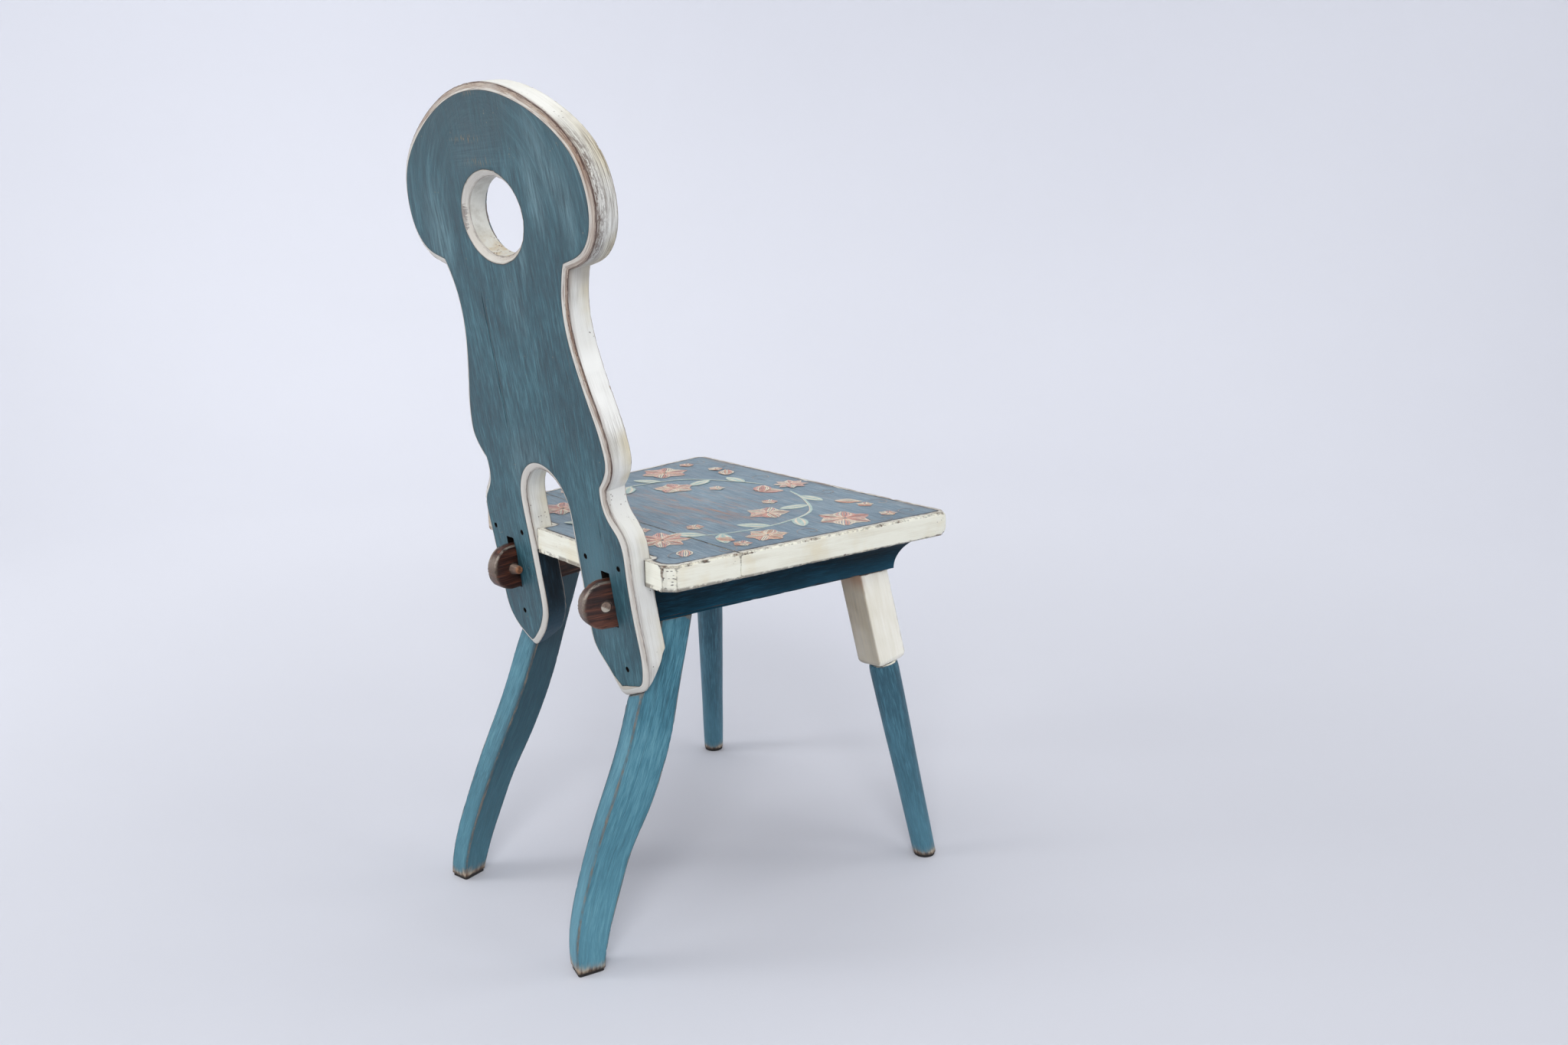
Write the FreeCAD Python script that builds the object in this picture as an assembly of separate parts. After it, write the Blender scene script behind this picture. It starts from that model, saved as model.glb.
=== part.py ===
import FreeCAD, Part
import os
from math import sin, cos, tan, radians, sqrt, pi
from FreeCAD import Vector as V

# Painted plank chair with a cut-out back. Millimetres. +Z up, the chair faces -Y,
# +X is the sitter's left. The seat is carried by two battens let into its underside,
# the legs are tenoned into the battens, and the battens end in tongues that pass
# through the back board and are locked behind it by round pegs.

# ---------------------------------------------------------------- driving sizes
SEAT_H = 450.0            # top of the seat
SEAT_T = 29.0             # seat thickness
SEAT_FRONT_HALF = 239.5   # half width at the front edge
SEAT_REAR_HALF = 192.4    # half width at the rear edge
SEAT_FRONT_Y = -238.0
SEAT_TILT_Y = -235.0      # the line the seat tips about
SEAT_TILT = 0.54          # degrees, the seat falls to the rear
SEAT_REAR_Y = 140.3       # rear edge beside the back board
SEAT_TENON_Y = 151.5      # rear end of the middle tenon between the board's legs
SEAT_JOINT_Y = 52.5       # glue line between the two seat planks
SEAT_R_FRONT = 6.0        # corner radii in plan
SEAT_CUT_REAR = 10.5      # cut-off rear corners, at 45 degrees
SEAT_EDGE_R = 2.0

BACK_Y = 159.6            # rear face of the back board at seat height
BACK_RAKE = 7.8           # degrees from the vertical
BACK_T = 28.8
BACK_CHAMFER = 3.0        # depth of the rear bevel
BACK_BEVEL_W = 7.5        # its width across the face
BACK_EASE = 1.5           # front arris
NOTCH_OUT = 150.4         # half width of the board where the seat grips it
ARCH_HALF = 45.3          # half width of the opening between the board's legs
ARCH_SPRING = 29.0        # height of the arch centre above the seat top
HOLE_V = 346.0            # centre of the hand hole, along the board
HOLE_A = 55.0             # half axes of the oval hand hole
HOLE_B = 40.0
HOLE_BEVEL = 6.5

BATTEN_ANGLE = 8.9        # the battens converge to the rear
BATTEN_BOTTOM = 372.0     # underside at the front leg
BATTEN_FALL = 1.17        # degrees, the underside falls to the rear
BATTEN_HALF = 21.3        # half width of the bottom fillet
BATTEN_STEP = 26.5        # half width above the fillet
BATTEN_TOP_HALF = 47.0    # half width under the seat
FILLET_Z = 373.0
COVE_Z0 = 375.0
COVE_R = 46.0
COVE_Z1 = 412.0
DOVE_H = 9.0              # sliding dovetail let into the seat
DOVE_ROOT = 26.0
DOVE_TOP = 31.0

TONGUE_T = 15.0
TONGUE_BOTTOM = 364.0
TONGUE_TOP = 417.4
TONGUE_OUT = 34.8         # how far it stands out behind the board
MORTISE_GAP = 8.0         # open height left above the tongue
MORTISE_SIDE = 0.2
PEG_R = 6.0
PEG_BORE_R = 6.05
PEG_BEHIND = 8.2          # peg axis behind the board's rear face
PEG_Z = 389.0
PEG_INNER = 12.0          # stands proud of the tongue's inner face
PEG_OUTER = 0.6
PEG_TIP_R = 4.6           # the proud inner end is whittled down to this

FRONT_FOOT = (216.75, -229.45)
FRONT_TOP = (149.74, -177.12)   # axis at z = 390
SHAFT_R0 = 14.2
SHAFT_R1 = 18.5
BLOCK = 43.0
BLOCK_BOTTOM = 254.0
BLOCK_TURN = 5.0
TENON_R = 13.0
TENON_TOP = 411.0
PAD_T = 3.5

REAR_FOOT = (136.65, 225.46)
REAR_PHI = 13.1           # plan angle of the leg's own plane
REAR_SPLAY = 57.0         # inward shift of the leg over 390 of height
REAR_W0, REAR_W1 = 26.7, 36.8
LEG_Z = [0, 40, 80, 120, 160, 200, 240, 280, 330, 390]
LEG_REAR = [15.8, 12.9, 1.4, -13.8, -31.2, -50.4, -67.4, -81.6, -103.2, -120.0]
LEG_FRONT = [-15.8, -26.0, -41.4, -58.3, -82.2, -102.2, -117.6, -128.6, -143.1, -158.6]

SEAT_TENON_HALF = 44.2    # the seat's rear tenon, between the board's legs
TOE_LET = 4.5             # depth of the housing in the leg for the toe's thin end

NAIL_R = 1.6
NAIL_HEAD_R = 2.5
NAIL_SINK_R = 2.9
NAIL_SINK = 2.6
NAIL_LEN = 43.0
SEAT_NAILS = [(-130.5, -15.0), (-68.5, -12.5), (66.5, -13.5), (128.5, -15.0)]
LEG_NAILS = [(-99.5, -119.0), (112.5, -136.5)]
# -------------------------------------------------------------------------------

SEAT_BOTTOM = SEAT_H - SEAT_T
TH = radians(BACK_RAKE)
BA = radians(BATTEN_ANGLE)
BEVEL_A, BEVEL_B = BACK_CHAMFER, BACK_BEVEL_W
UP = V(0, sin(TH), cos(TH))
NB = V(0, cos(TH), -sin(TH))          # rear normal of the board
P0 = V(0, BACK_Y, SEAT_H)


def spline(pts):
    c = Part.BSplineCurve()
    c.interpolate(pts)
    return c.toShape()


def line(a, b):
    return Part.makeLine(a, b)


def box(x0, x1, y0, y1, z0, z1):
    return Part.makeBox(x1 - x0, y1 - y0, z1 - z0, V(x0, y0, z0))


def fall(shape):
    """The seat and the moulded battens tip back together about the seat's front edge."""
    s = shape.copy()
    s.rotate(V(0, SEAT_TILT_Y, SEAT_H), V(1, 0, 0), -SEAT_TILT)
    return s


def under_plane(shape):
    s = shape.copy()
    s.rotate(V(0, FRONT_TOP[1], BATTEN_BOTTOM), V(1, 0, 0), -BATTEN_FALL)
    return s


def to_back(shape):
    """Board layout (u to -X, v up, y into the board) to its raked place."""
    s = shape.copy()
    s.rotate(V(0, 0, 0), V(1, 0, 0), -BACK_RAKE)
    s.translate(P0)
    return s


def mirror(shape):
    return shape.mirror(V(0, 0, 0), V(1, 0, 0))


def one(shape):
    s = shape.Solids
    if len(s) != 1:
        s = sorted(s, key=lambda q: -q.Volume)
    return s[0]


# ---------------------------------------------------------------- back board
HEAD = [(20, 476.4), (40, 473.8), (60, 469.5), (80, 463.5), (100, 456), (120, 446.6),
        (140, 435.2), (158, 422.4), (172.5, 408.4), (182.5, 393.2), (188.3, 377), (190.6, 359.5),
        (189, 343), (184.3, 329.6), (177, 318.5), (168, 310), (157, 303.5), (144, 299),
        (134, 296.5), (127.5, 295)]
WAIST = [(127.5, 295), (124, 288), (120, 278), (116.5, 267), (114.3, 255), (113.6, 243),
         (114.3, 230), (116.5, 216), (120, 201), (124, 187), (128.5, 172.5), (133.5, 158),
         (138, 145), (141.7, 132), (144.4, 118), (145.6, 106), (144.3, 96), (140.5, 87),
         (134.5, 78.5), (125.5, 69)]
HIP = [(125.5, 69), (124.6, 60), (126, 50), (130, 42), (136.5, 34.5), (143.5, 26.5),
       (148.3, 16), (150.0, 4), (149.6, -10), (148.6, -25), (147.7, -45), (147.3, -70),
       (147.2, -95), (146.4, -111), (143.5, -125.5), (137, -137.5), (126.5, -148),
       (112, -157), (101, -162.3), (95, -163.8), (89, -162), (78, -153.5), (64, -139.5),
       (53.5, -124.5), (47.2, -110.5), (45.0, -96), (44.8, -70), (44.9, -40), (45.1, -5)]
# the sitter's right toe was cut longer and fuller than the left one
HIP_RIGHT = HIP[:10] + [(148.3, -45), (148.7, -65), (149.8, -85), (151.3, -103),
       (151.6, -116), (150.6, -128), (148.2, -139.5), (144.2, -149.5), (137.6, -156.6),
       (128, -161.6), (116, -166.8), (104, -171.4), (95.5, -173.6), (88.2, -171.8), (77.6, -159.8),
       (67.5, -147.5), (56.5, -136.2), (49, -126), (45.4, -114), (44.6, -100),
       (44.7, -80), (44.8, -55), (44.9, -30), (45.1, -5)]


def board_outline():
    """Head, two waists, and one curve down each leg and over the arch between them."""
    def side(pts, s):
        return [V(s * u, 0, v) for u, v in pts]
    head = side(HEAD[::-1], -1) + [V(0, 0, 477.2)] + side(HEAD, 1)
    arch = [V(ARCH_HALF * cos(pi * i / 12), 0, ARCH_SPRING + ARCH_HALF * sin(pi * i / 12))
            for i in range(13)]
    low = side(HIP_RIGHT, -1)[::1] + arch[::-1] + side(HIP[::-1], 1)
    e = [spline(head), spline(side(WAIST, 1)), spline(low), spline(side(WAIST, -1))]
    return Part.Wire(Part.sortEdges(e)[0])


def oval(y, grow):
    el = Part.Ellipse(V(HOLE_A + grow, y, HOLE_V), V(0, y, HOLE_V + HOLE_B + grow), V(0, y, HOLE_V))
    return Part.Wire([el.toShape()])


def make_board():
    slab = Part.Face(board_outline()).extrude(V(0, -BACK_T, 0))
    rear = [ed for ed in slab.Edges if ed.BoundBox.YMin > -0.01]
    slab = slab.makeChamfer(BEVEL_A, BEVEL_B, rear)
    front = [ed for ed in slab.Edges if ed.BoundBox.YMax < -BACK_T + 0.01]
    slab = slab.makeChamfer(BACK_EASE, front)
    slab = slab.cut(Part.Face(oval(10, 0)).extrude(V(0, -BACK_T - 20, 0)))
    # the hand hole is bevelled more widely on both faces
    for y0, y1 in ((0.5, -HOLE_BEVEL), (-BACK_T - 0.5, -BACK_T + 4.0)):
        g = HOLE_BEVEL * (1 if y0 > 0 else 0.6) + 0.5
        slab = slab.cut(Part.makeLoft([oval(y0, g), oval(y1, 0)], True, True))
    return to_back(one(slab))


board = make_board()

# ---------------------------------------------------------------- battens
def frame_matrix(px, py, ang):
    """Local s (rearward) along Y and w (outward) along X, at a plan point, left side."""
    m = FreeCAD.Matrix()
    m.rotateZ(ang)
    m.move(V(px, py, 0))
    return m


AX = FRONT_FOOT[0] + (FRONT_TOP[0] - FRONT_FOOT[0]) * 370.0 / 390.0
AY = FRONT_FOOT[1] + (FRONT_TOP[1] - FRONT_FOOT[1]) * 370.0 / 390.0
BD = V(-sin(BA), cos(BA), 0)     # rearward along the left batten
BN = V(cos(BA), sin(BA), 0)      # outward across it


def place_batten(shape):
    s = shape.copy()
    s.rotate(V(0, 0, 0), V(0, 0, 1), BATTEN_ANGLE)
    s.translate(V(AX, AY, 0))
    return s


LOW_Z = 355.0


def cove_points(n=9):
    pts = []
    for i in range(n + 1):
        z = COVE_Z0 + (COVE_Z1 - COVE_Z0) * i / n
        pts.append((BATTEN_STEP + COVE_R - sqrt(COVE_R ** 2 - (z - COVE_Z0) ** 2), z))
    return pts


def cove_side(sign, mk):
    """Edges from the bottom fillet up to the seat on one side; mk maps (offset, z)."""
    c = cove_points()
    e = [line(mk(sign * BATTEN_HALF, LOW_Z), mk(sign * BATTEN_HALF, FILLET_Z)),
         line(mk(sign * BATTEN_HALF, FILLET_Z), mk(sign * BATTEN_STEP, COVE_Z0)),
         spline([mk(sign * w, z) for w, z in c])]
    w1, z1 = c[-1]
    top = max(BATTEN_TOP_HALF, w1 + 0.5)
    e.append(line(mk(sign * w1, z1), mk(sign * top, z1 + 1.5)))
    e.append(line(mk(sign * top, z1 + 1.5), mk(sign * top, SEAT_BOTTOM)))
    return e, top


def halfspace_below(z):
    return box(-600, 600, -600, 600, z - 900, z)


def halfspace_above(z):
    return box(-600, 600, -600, 600, z, z + 900)


def make_batten():
    length = 420.0
    mk = lambda w, z: V(w, -80, z)
    e1, top = cove_side(1, mk)
    e2, top = cove_side(-1, mk)
    wire = Part.Wire(Part.sortEdges(e1 + e2 + [
        line(mk(-BATTEN_HALF, LOW_Z), mk(BATTEN_HALF, LOW_Z)),
        line(mk(-top, SEAT_BOTTOM), mk(top, SEAT_BOTTOM))])[0])
    along = Part.Face(wire).extrude(V(0, length + 80, 0))
    mk2 = lambda s, z: V(-80, s, z)
    e3, top2 = cove_side(-1, mk2)
    wire2 = Part.Wire(Part.sortEdges(e3 + [
        line(mk2(-BATTEN_HALF, LOW_Z), mk2(length, LOW_Z)),
        line(mk2(length, LOW_Z), mk2(length, SEAT_BOTTOM)),
        line(mk2(length, SEAT_BOTTOM), mk2(-top2, SEAT_BOTTOM))])[0])
    across = Part.Face(wire2).extrude(V(160, 0, 0))
    body = one(along.common(across))
    # dovetail
    d = [V(-DOVE_ROOT, 6, SEAT_BOTTOM), V(DOVE_ROOT, 6, SEAT_BOTTOM),
         V(DOVE_TOP, 6, SEAT_BOTTOM + DOVE_H), V(-DOVE_TOP, 6, SEAT_BOTTOM + DOVE_H),
         V(-DOVE_ROOT, 6, SEAT_BOTTOM)]
    dove = Part.Face(Part.makePolygon(d)).extrude(V(0, length, 0))
    body = one(body.fuse(dove).removeSplitter())
    body = fall(place_batten(body))
    body = one(body.cut(under_plane(halfspace_below(BATTEN_BOTTOM))))
    # shoulder against the board's front face
    big = Part.makeBox(800, 400, 700, V(-400, -BACK_T, -350))
    body = one(body.cut(to_back(big)))
    return body, fall(place_batten(dove))


body_l, dove_l = make_batten()


def tongue_solid(side_clear=0.0, top_clear=0.0, s0=250.0, s1=None, round_end=True, bottom_clear=0.0):
    """Straight tongue in the batten's own plane; the rounded end stands behind the board."""
    z0 = TONGUE_BOTTOM - bottom_clear
    z1 = TONGUE_TOP + top_clear
    t = TONGUE_T / 2 + side_clear
    if not round_end:
        b = box(-t, t, s0, s1, z0, z1)
        return place_batten(b)
    r = (z1 - z0) / 2.0
    zc = (z0 + z1) / 2.0
    # local distance from the leg axis to the board's rear plane at mid height
    yb = BACK_Y + (zc - SEAT_H) * tan(TH)
    s_rear = (yb - AY + 0.0) / cos(BA)
    # the plan line meets the raked plane at s_rear; the end stands TONGUE_OUT beyond
    s_end = s_rear + TONGUE_OUT / cos(BA)
    sc = s_end - r
    w = Part.Wire([
        line(V(-t, s0, z0), V(-t, sc, z0)),
        Part.Arc(V(-t, sc, z0), V(-t, s_end, zc), V(-t, sc, z1)).toShape(),
        line(V(-t, sc, z1), V(-t, s0, z1)),
        line(V(-t, s0, z1), V(-t, s0, z0))])
    s = Part.Face(w).extrude(V(2 * t, 0, 0))
    return place_batten(s), s_rear, s_end


tongue_l, S_REAR, S_END = tongue_solid()
# soften the rim of the rounded end
rim = [ed for ed in tongue_l.Edges if ed.Curve.TypeId == "Part::GeomCircle"]
tongue_l = one(tongue_l.makeChamfer(1.2, rim))

# peg axis: across the tongue, behind the board
yb_peg = BACK_Y + (PEG_Z - SEAT_H) * tan(TH)
s_peg = (yb_peg + PEG_BEHIND / cos(TH) - AY) / cos(BA)
PEG_C = V(AX, AY, 0) + BD * s_peg + V(0, 0, PEG_Z)
peg_bore = Part.makeCylinder(PEG_BORE_R, 80, PEG_C - BN * 40, BN)
peg_len = TONGUE_T + PEG_INNER + PEG_OUTER
peg_start = PEG_C - BN * (TONGUE_T / 2 + PEG_INNER)
peg_l = Part.makeCylinder(PEG_R, peg_len - PEG_INNER, peg_start + BN * PEG_INNER, BN)
peg_l = peg_l.fuse(Part.makeCone(PEG_TIP_R, PEG_R, PEG_INNER, peg_start, BN)).removeSplitter()
peg_rims = []
for ed in peg_l.Edges:
    if ed.Curve.TypeId == "Part::GeomCircle":
        at = (ed.Curve.Center - peg_start).dot(BN)
        if at < 0.1 or at > peg_len - 0.1:
            peg_rims.append(ed)
peg_l = one(one(peg_l).makeChamfer(0.9, peg_rims))

batten_l = one(body_l.fuse(tongue_l).removeSplitter())
batten_l = one(batten_l.cut(peg_bore))

# ---------------------------------------------------------------- front leg
def leg_axis(z):
    t = z / 390.0
    return V(FRONT_FOOT[0] + (FRONT_TOP[0] - FRONT_FOOT[0]) * t,
             FRONT_FOOT[1] + (FRONT_TOP[1] - FRONT_FOOT[1]) * t, z)


FA = (leg_axis(390) - leg_axis(0)).normalize()


def make_front_leg():
    k = 1.0 / FA.z
    z_sh = BLOCK_BOTTOM
    # block in its own frame: z along the leg
    blk = Part.makeBox(BLOCK, BLOCK, 150, V(-BLOCK / 2, -BLOCK / 2, 0))
    bottom = [ed for ed in blk.Edges if ed.BoundBox.ZMax < 0.01]
    blk = blk.makeFillet(9.0, bottom)
    up = [ed for ed in blk.Edges if ed.BoundBox.ZLength > 100]
    blk = blk.makeChamfer(1.6, up)
    # turned lower part, a hair of swelling below the shoulder
    l0 = (z_sh + 4) * k
    r1 = SHAFT_R1
    prof = [V(0, 0, -l0 - 12), V(SHAFT_R0 - 0.1, 0, -l0 - 12), V(SHAFT_R0, 0, -l0),
            V(15.0, 0, -l0 + 50), V(16.1, 0, -l0 + 120), V(17.5, 0, -l0 + 190), V(r1, 0, -10)]
    e = [line(prof[0], prof[1]), line(prof[1], prof[2]), spline(prof[2:]),
         spline([V(r1, 0, -10), V(r1 - 0.3, 0, -5.0), V(r1 - 1.4, 0, -1.2), V(15.5, 0, 0.0)]),
         line(V(15.5, 0, 0.0), V(15.5, 0, 8)), line(V(15.5, 0, 8), V(0, 0, 8)),
         line(V(0, 0, 8), prof[0])]
    shaft = Part.Face(Part.Wire(e)).revolve(V(0, 0, 0), V(0, 0, 1), 360)
    ten = Part.makeCylinder(TENON_R, 80, V(0, 0, 100), V(0, 0, 1))
    rot = FreeCAD.Rotation(V(0, 0, 1), FA)
    place = FreeCAD.Placement(leg_axis(z_sh), rot)
    turn = FreeCAD.Placement(V(0, 0, 0), FreeCAD.Rotation(V(0, 0, 1), BLOCK_TURN))
    blk.Placement = place.multiply(turn)
    shaft.Placement = place
    ten.Placement = place
    blk = blk.cut(under_plane(halfspace_above(BATTEN_BOTTOM)))
    shaft = shaft.cut(halfspace_below(0))
    ten = ten.cut(halfspace_above(TENON_TOP))
    leg = blk.fuse([shaft, ten]).removeSplitter()
    return one(leg)


front_leg_l = make_front_leg()
socket_f = Part.makeCylinder(TENON_R + 0.05, 80, leg_axis(BATTEN_BOTTOM) - FA * 16, FA)
socket_f = socket_f.common(box(-600, 600, -600, 600, 355, TENON_TOP + 0.8))
batten_l = one(batten_l.cut(socket_f))


def wedge(cx, cy, width, ang, z0=388.0, z1=TENON_TOP, t0=0.8, t1=3.6):
    """Hidden wedge in a sawn tenon, its width along the local X."""
    pts = [V(-width / 2, -t0 / 2, z0), V(-width / 2, t0 / 2, z0), V(-width / 2, t1 / 2, z1),
           V(-width / 2, -t1 / 2, z1), V(-width / 2, -t0 / 2, z0)]
    s = Part.Face(Part.makePolygon(pts)).extrude(V(width, 0, 0))
    s.rotate(V(0, 0, 0), V(0, 0, 1), ang)
    s.translate(V(cx, cy, 0))
    return s


fc = leg_axis(400)
wedge_f = wedge(fc.x, fc.y, 30, BATTEN_ANGLE)
wedge_f = wedge_f.common(Part.makeCylinder(TENON_R, 120, leg_axis(340), FA))
wedge_f = one(wedge_f)
front_leg_l = one(front_leg_l.cut(wedge_f))

# ---------------------------------------------------------------- rear leg
PHI = radians(REAR_PHI)
LA = V(cos(PHI), sin(PHI), 0)     # outward
LB = V(-sin(PHI), cos(PHI), 0)    # rearward


def place_rear(shape):
    s = shape.copy()
    s.rotate(V(0, 0, 0), V(0, 0, 1), REAR_PHI)
    s.translate(V(REAR_FOOT[0], REAR_FOOT[1], 0))
    return s


def make_rear_leg():
    rear = spline([V(-120, s, z) for s, z in zip(LEG_REAR, LEG_Z)])
    front = spline([V(-120, s, z) for s, z in zip(LEG_FRONT, LEG_Z)])
    w = Part.Wire(Part.sortEdges([rear, front,
                  line(V(-120, LEG_REAR[0], 0), V(-120, LEG_FRONT[0], 0)),
                  line(V(-120, LEG_REAR[-1], 390), V(-120, LEG_FRONT[-1], 390))])[0])
    prof = Part.Face(w).extrude(V(200, 0, 0))
    h0, h1 = REAR_W0 / 2, REAR_W1 / 2
    slab = Part.Face(Part.makePolygon([
        V(-h0, -260, 0), V(h0, -260, 0), V(-REAR_SPLAY + h1, -260, 390),
        V(-REAR_SPLAY - h1, -260, 390), V(-h0, -260, 0)])).extrude(V(0, 330, 0))
    leg = one(prof.common(slab))
    arr = [ed for ed in leg.Edges if ed.BoundBox.ZLength > 300]
    try:
        c = leg.makeChamfer(1.6, arr)
        if c.isValid() and len(c.Solids) == 1:
            leg = one(c)
    except Exception as err:
        print("leg arrises left sharp", err)
    leg = place_rear(leg.common(box(-200, 200, -300, 100, 0, 385)))
    leg = one(leg.cut(under_plane(halfspace_above(BATTEN_BOTTOM))))
    # square tenon up into the batten
    zt = 366.0
    cs = (-113.9 - 152.5) / 2 - 1.0
    ca = -REAR_SPLAY * zt / 390.0
    ten = place_rear(box(ca - 11.5, ca + 11.5, cs - 14, cs + 14, zt - 4, TENON_TOP))
    leg = one(leg.fuse(ten).removeSplitter())
    sock = box(ca - 11.55, ca + 11.55, cs - 14.05, cs + 14.05, zt - 8, TENON_TOP + 0.8)
    c = place_rear(Part.Vertex(ca, cs, 0)).Point
    return leg, place_rear(sock), c, place_rear(prof)


rear_leg_l, socket_r, RC, seat_on_leg = make_rear_leg()
batten_l = one(batten_l.cut(socket_r))
wedge_r = wedge(RC.x, RC.y, 22.9, REAR_PHI)
rear_leg_l = one(rear_leg_l.cut(wedge_r))

# the board's toe is pared on its front to lie along the leg's rear edge, and its thin
# end is let into the leg by TOE_LET
def toe_housing(pts, s, grow=0.6):
    """Prism that follows the toe's outline a little outside it, s giving the side."""
    q = [p for p in pts if p[1] < -60]
    rim = []
    for i, (u, v) in enumerate(q):
        a, b = q[max(i - 1, 0)], q[min(i + 1, len(q) - 1)]
        du, dv = b[0] - a[0], b[1] - a[1]
        k = grow / (du * du + dv * dv) ** 0.5
        rim.append(V(s * (u - dv * k), -TOE_LET - 0.1, v + du * k))
    top_a, top_b = V(rim[0].x, rim[0].y, -58), V(rim[-1].x, rim[-1].y, -58)
    w = Part.Wire([line(top_a, rim[0]), spline(rim), line(rim[-1], top_b), line(top_b, top_a)])
    return to_back(Part.Face(w).extrude(V(0, TOE_LET + 40, 0)))


# the root of the tongue runs in a shallow groove over the leg's top
rear_leg_l = one(rear_leg_l.cut(tongue_l.cut(socket_r)))
rear_leg_r = mirror(rear_leg_l)
rear_leg_l = one(rear_leg_l.cut(toe_housing(HIP, 1)))
rear_leg_r = one(rear_leg_r.cut(toe_housing(HIP_RIGHT, -1)))
deep = to_back(box(-300, 300, -70, -TOE_LET, -260, -60))
pare = seat_on_leg.copy()
pare.translate(LB * 0.12)
pare = pare.common(deep)
board = one(board.cut(pare).cut(mirror(pare)))

# ---------------------------------------------------------------- mirrored pieces
batten_r = mirror(batten_l)
front_leg_r = mirror(front_leg_l)
peg_r = mirror(peg_l)
wedge_fr, wedge_rr = mirror(wedge_f), mirror(wedge_r)

# ---------------------------------------------------------------- seat
def make_seat():
    f, r = SEAT_FRONT_HALF, SEAT_REAR_HALF
    slope = (f - r) / (SEAT_REAR_Y - SEAT_FRONT_Y)
    pts = [V(-f, SEAT_FRONT_Y, SEAT_BOTTOM), V(f, SEAT_FRONT_Y, SEAT_BOTTOM),
           V(r + slope * SEAT_CUT_REAR, SEAT_REAR_Y - SEAT_CUT_REAR, SEAT_BOTTOM),
           V(r - SEAT_CUT_REAR, SEAT_REAR_Y, SEAT_BOTTOM),
           V(SEAT_TENON_HALF, SEAT_REAR_Y, SEAT_BOTTOM),
           V(SEAT_TENON_HALF, SEAT_TENON_Y, SEAT_BOTTOM),
           V(-SEAT_TENON_HALF, SEAT_TENON_Y, SEAT_BOTTOM),
           V(-SEAT_TENON_HALF, SEAT_REAR_Y, SEAT_BOTTOM),
           V(-r + SEAT_CUT_REAR, SEAT_REAR_Y, SEAT_BOTTOM),
           V(-r - slope * SEAT_CUT_REAR, SEAT_REAR_Y - SEAT_CUT_REAR, SEAT_BOTTOM)]
    pts.append(pts[0])
    s = Part.Face(Part.makePolygon(pts)).extrude(V(0, 0, SEAT_T))
    front_c = []
    for ed in s.Edges:
        bb = ed.BoundBox
        if bb.ZLength > SEAT_T - 1 and bb.XLength < 0.1 and bb.YLength < 0.1:
            x, y = abs(bb.XMin), bb.YMin
            if x > f - 5 and y < SEAT_FRONT_Y + 5:
                front_c.append(ed)
    s = s.makeFillet(SEAT_R_FRONT, front_c)
    rim = []
    for ed in s.Edges:
        bb = ed.BoundBox
        if bb.ZLength < 0.01 and (abs(bb.ZMin - SEAT_H) < 0.01 or abs(bb.ZMin - SEAT_BOTTOM) < 0.01):
            if bb.YMax < SEAT_REAR_Y - 2 or (bb.YMin < SEAT_REAR_Y - 10):
                rim.append(ed)
    try:
        c = s.makeChamfer(SEAT_EDGE_R, rim)
        if c.isValid() and len(c.Solids) == 1:
            s = c
            print("seat rim chamfered", len(rim))
    except Exception as err:
        print("seat rim left sharp", err)
    s = fall(s)
    # notches for the board's legs, raked like its front face
    for sg in (1, -1):
        a, b = sg * (SEAT_TENON_HALF), sg * (NOTCH_OUT + 0.3)
        n = to_back(box(min(a, b), max(a, b), -BACK_T - 0.05, 60, -60, 60))
        s = s.cut(n)
    return one(s)


seat = make_seat()
seat = seat.cut(dove_l).cut(mirror(dove_l))
seat_front = one(seat.common(box(-400, 400, -400, SEAT_JOINT_Y, 0, 900)))
seat_rear = one(seat.common(box(-400, 400, SEAT_JOINT_Y, 400, 0, 900)))

# ---------------------------------------------------------------- mortises and nails
for sg in (1, -1):
    m = tongue_solid(MORTISE_SIDE, MORTISE_GAP, 250, 420, False, 0.2)
    board = board.cut(m if sg == 1 else mirror(m))
board = one(board)


def nail_parts(u, v):
    p = P0 + V(-u, 0, 0) + UP * v
    d = NB * -1
    head = Part.makeCylinder(NAIL_HEAD_R, 1.4, p + d * NAIL_SINK, d)
    shank = Part.makeCylinder(NAIL_R, NAIL_LEN - 6, p + d * (NAIL_SINK + 1.4), d)
    tip = Part.makeCone(NAIL_R, 0.25, 6, p + d * (NAIL_SINK + 1.4 + NAIL_LEN - 6), d)
    nail = one(head.fuse([shank, tip]))
    sink = Part.makeCylinder(NAIL_SINK_R, NAIL_SINK + 1.4, p - d * 1.0, d)
    sink = sink.fuse(Part.makeCylinder(NAIL_HEAD_R, 1.4 + 1.0, p + d * (NAIL_SINK - 1.0), d))
    return nail, sink


seat_nails, leg_nails = [], []
for u, v in SEAT_NAILS:
    n, k = nail_parts(u, v)
    board = board.cut(k).cut(n)
    seat_rear = seat_rear.cut(n)
    seat_nails.append(n)
for u, v in LEG_NAILS:
    n, k = nail_parts(u, v)
    board = board.cut(k).cut(n)
    if u < 0:
        rear_leg_l = rear_leg_l.cut(n)
    else:
        rear_leg_r = rear_leg_r.cut(n)
    leg_nails.append(n)
board = one(board)
seat_rear = one(seat_rear)
rear_leg_l, rear_leg_r = one(rear_leg_l), one(rear_leg_r)

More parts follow.
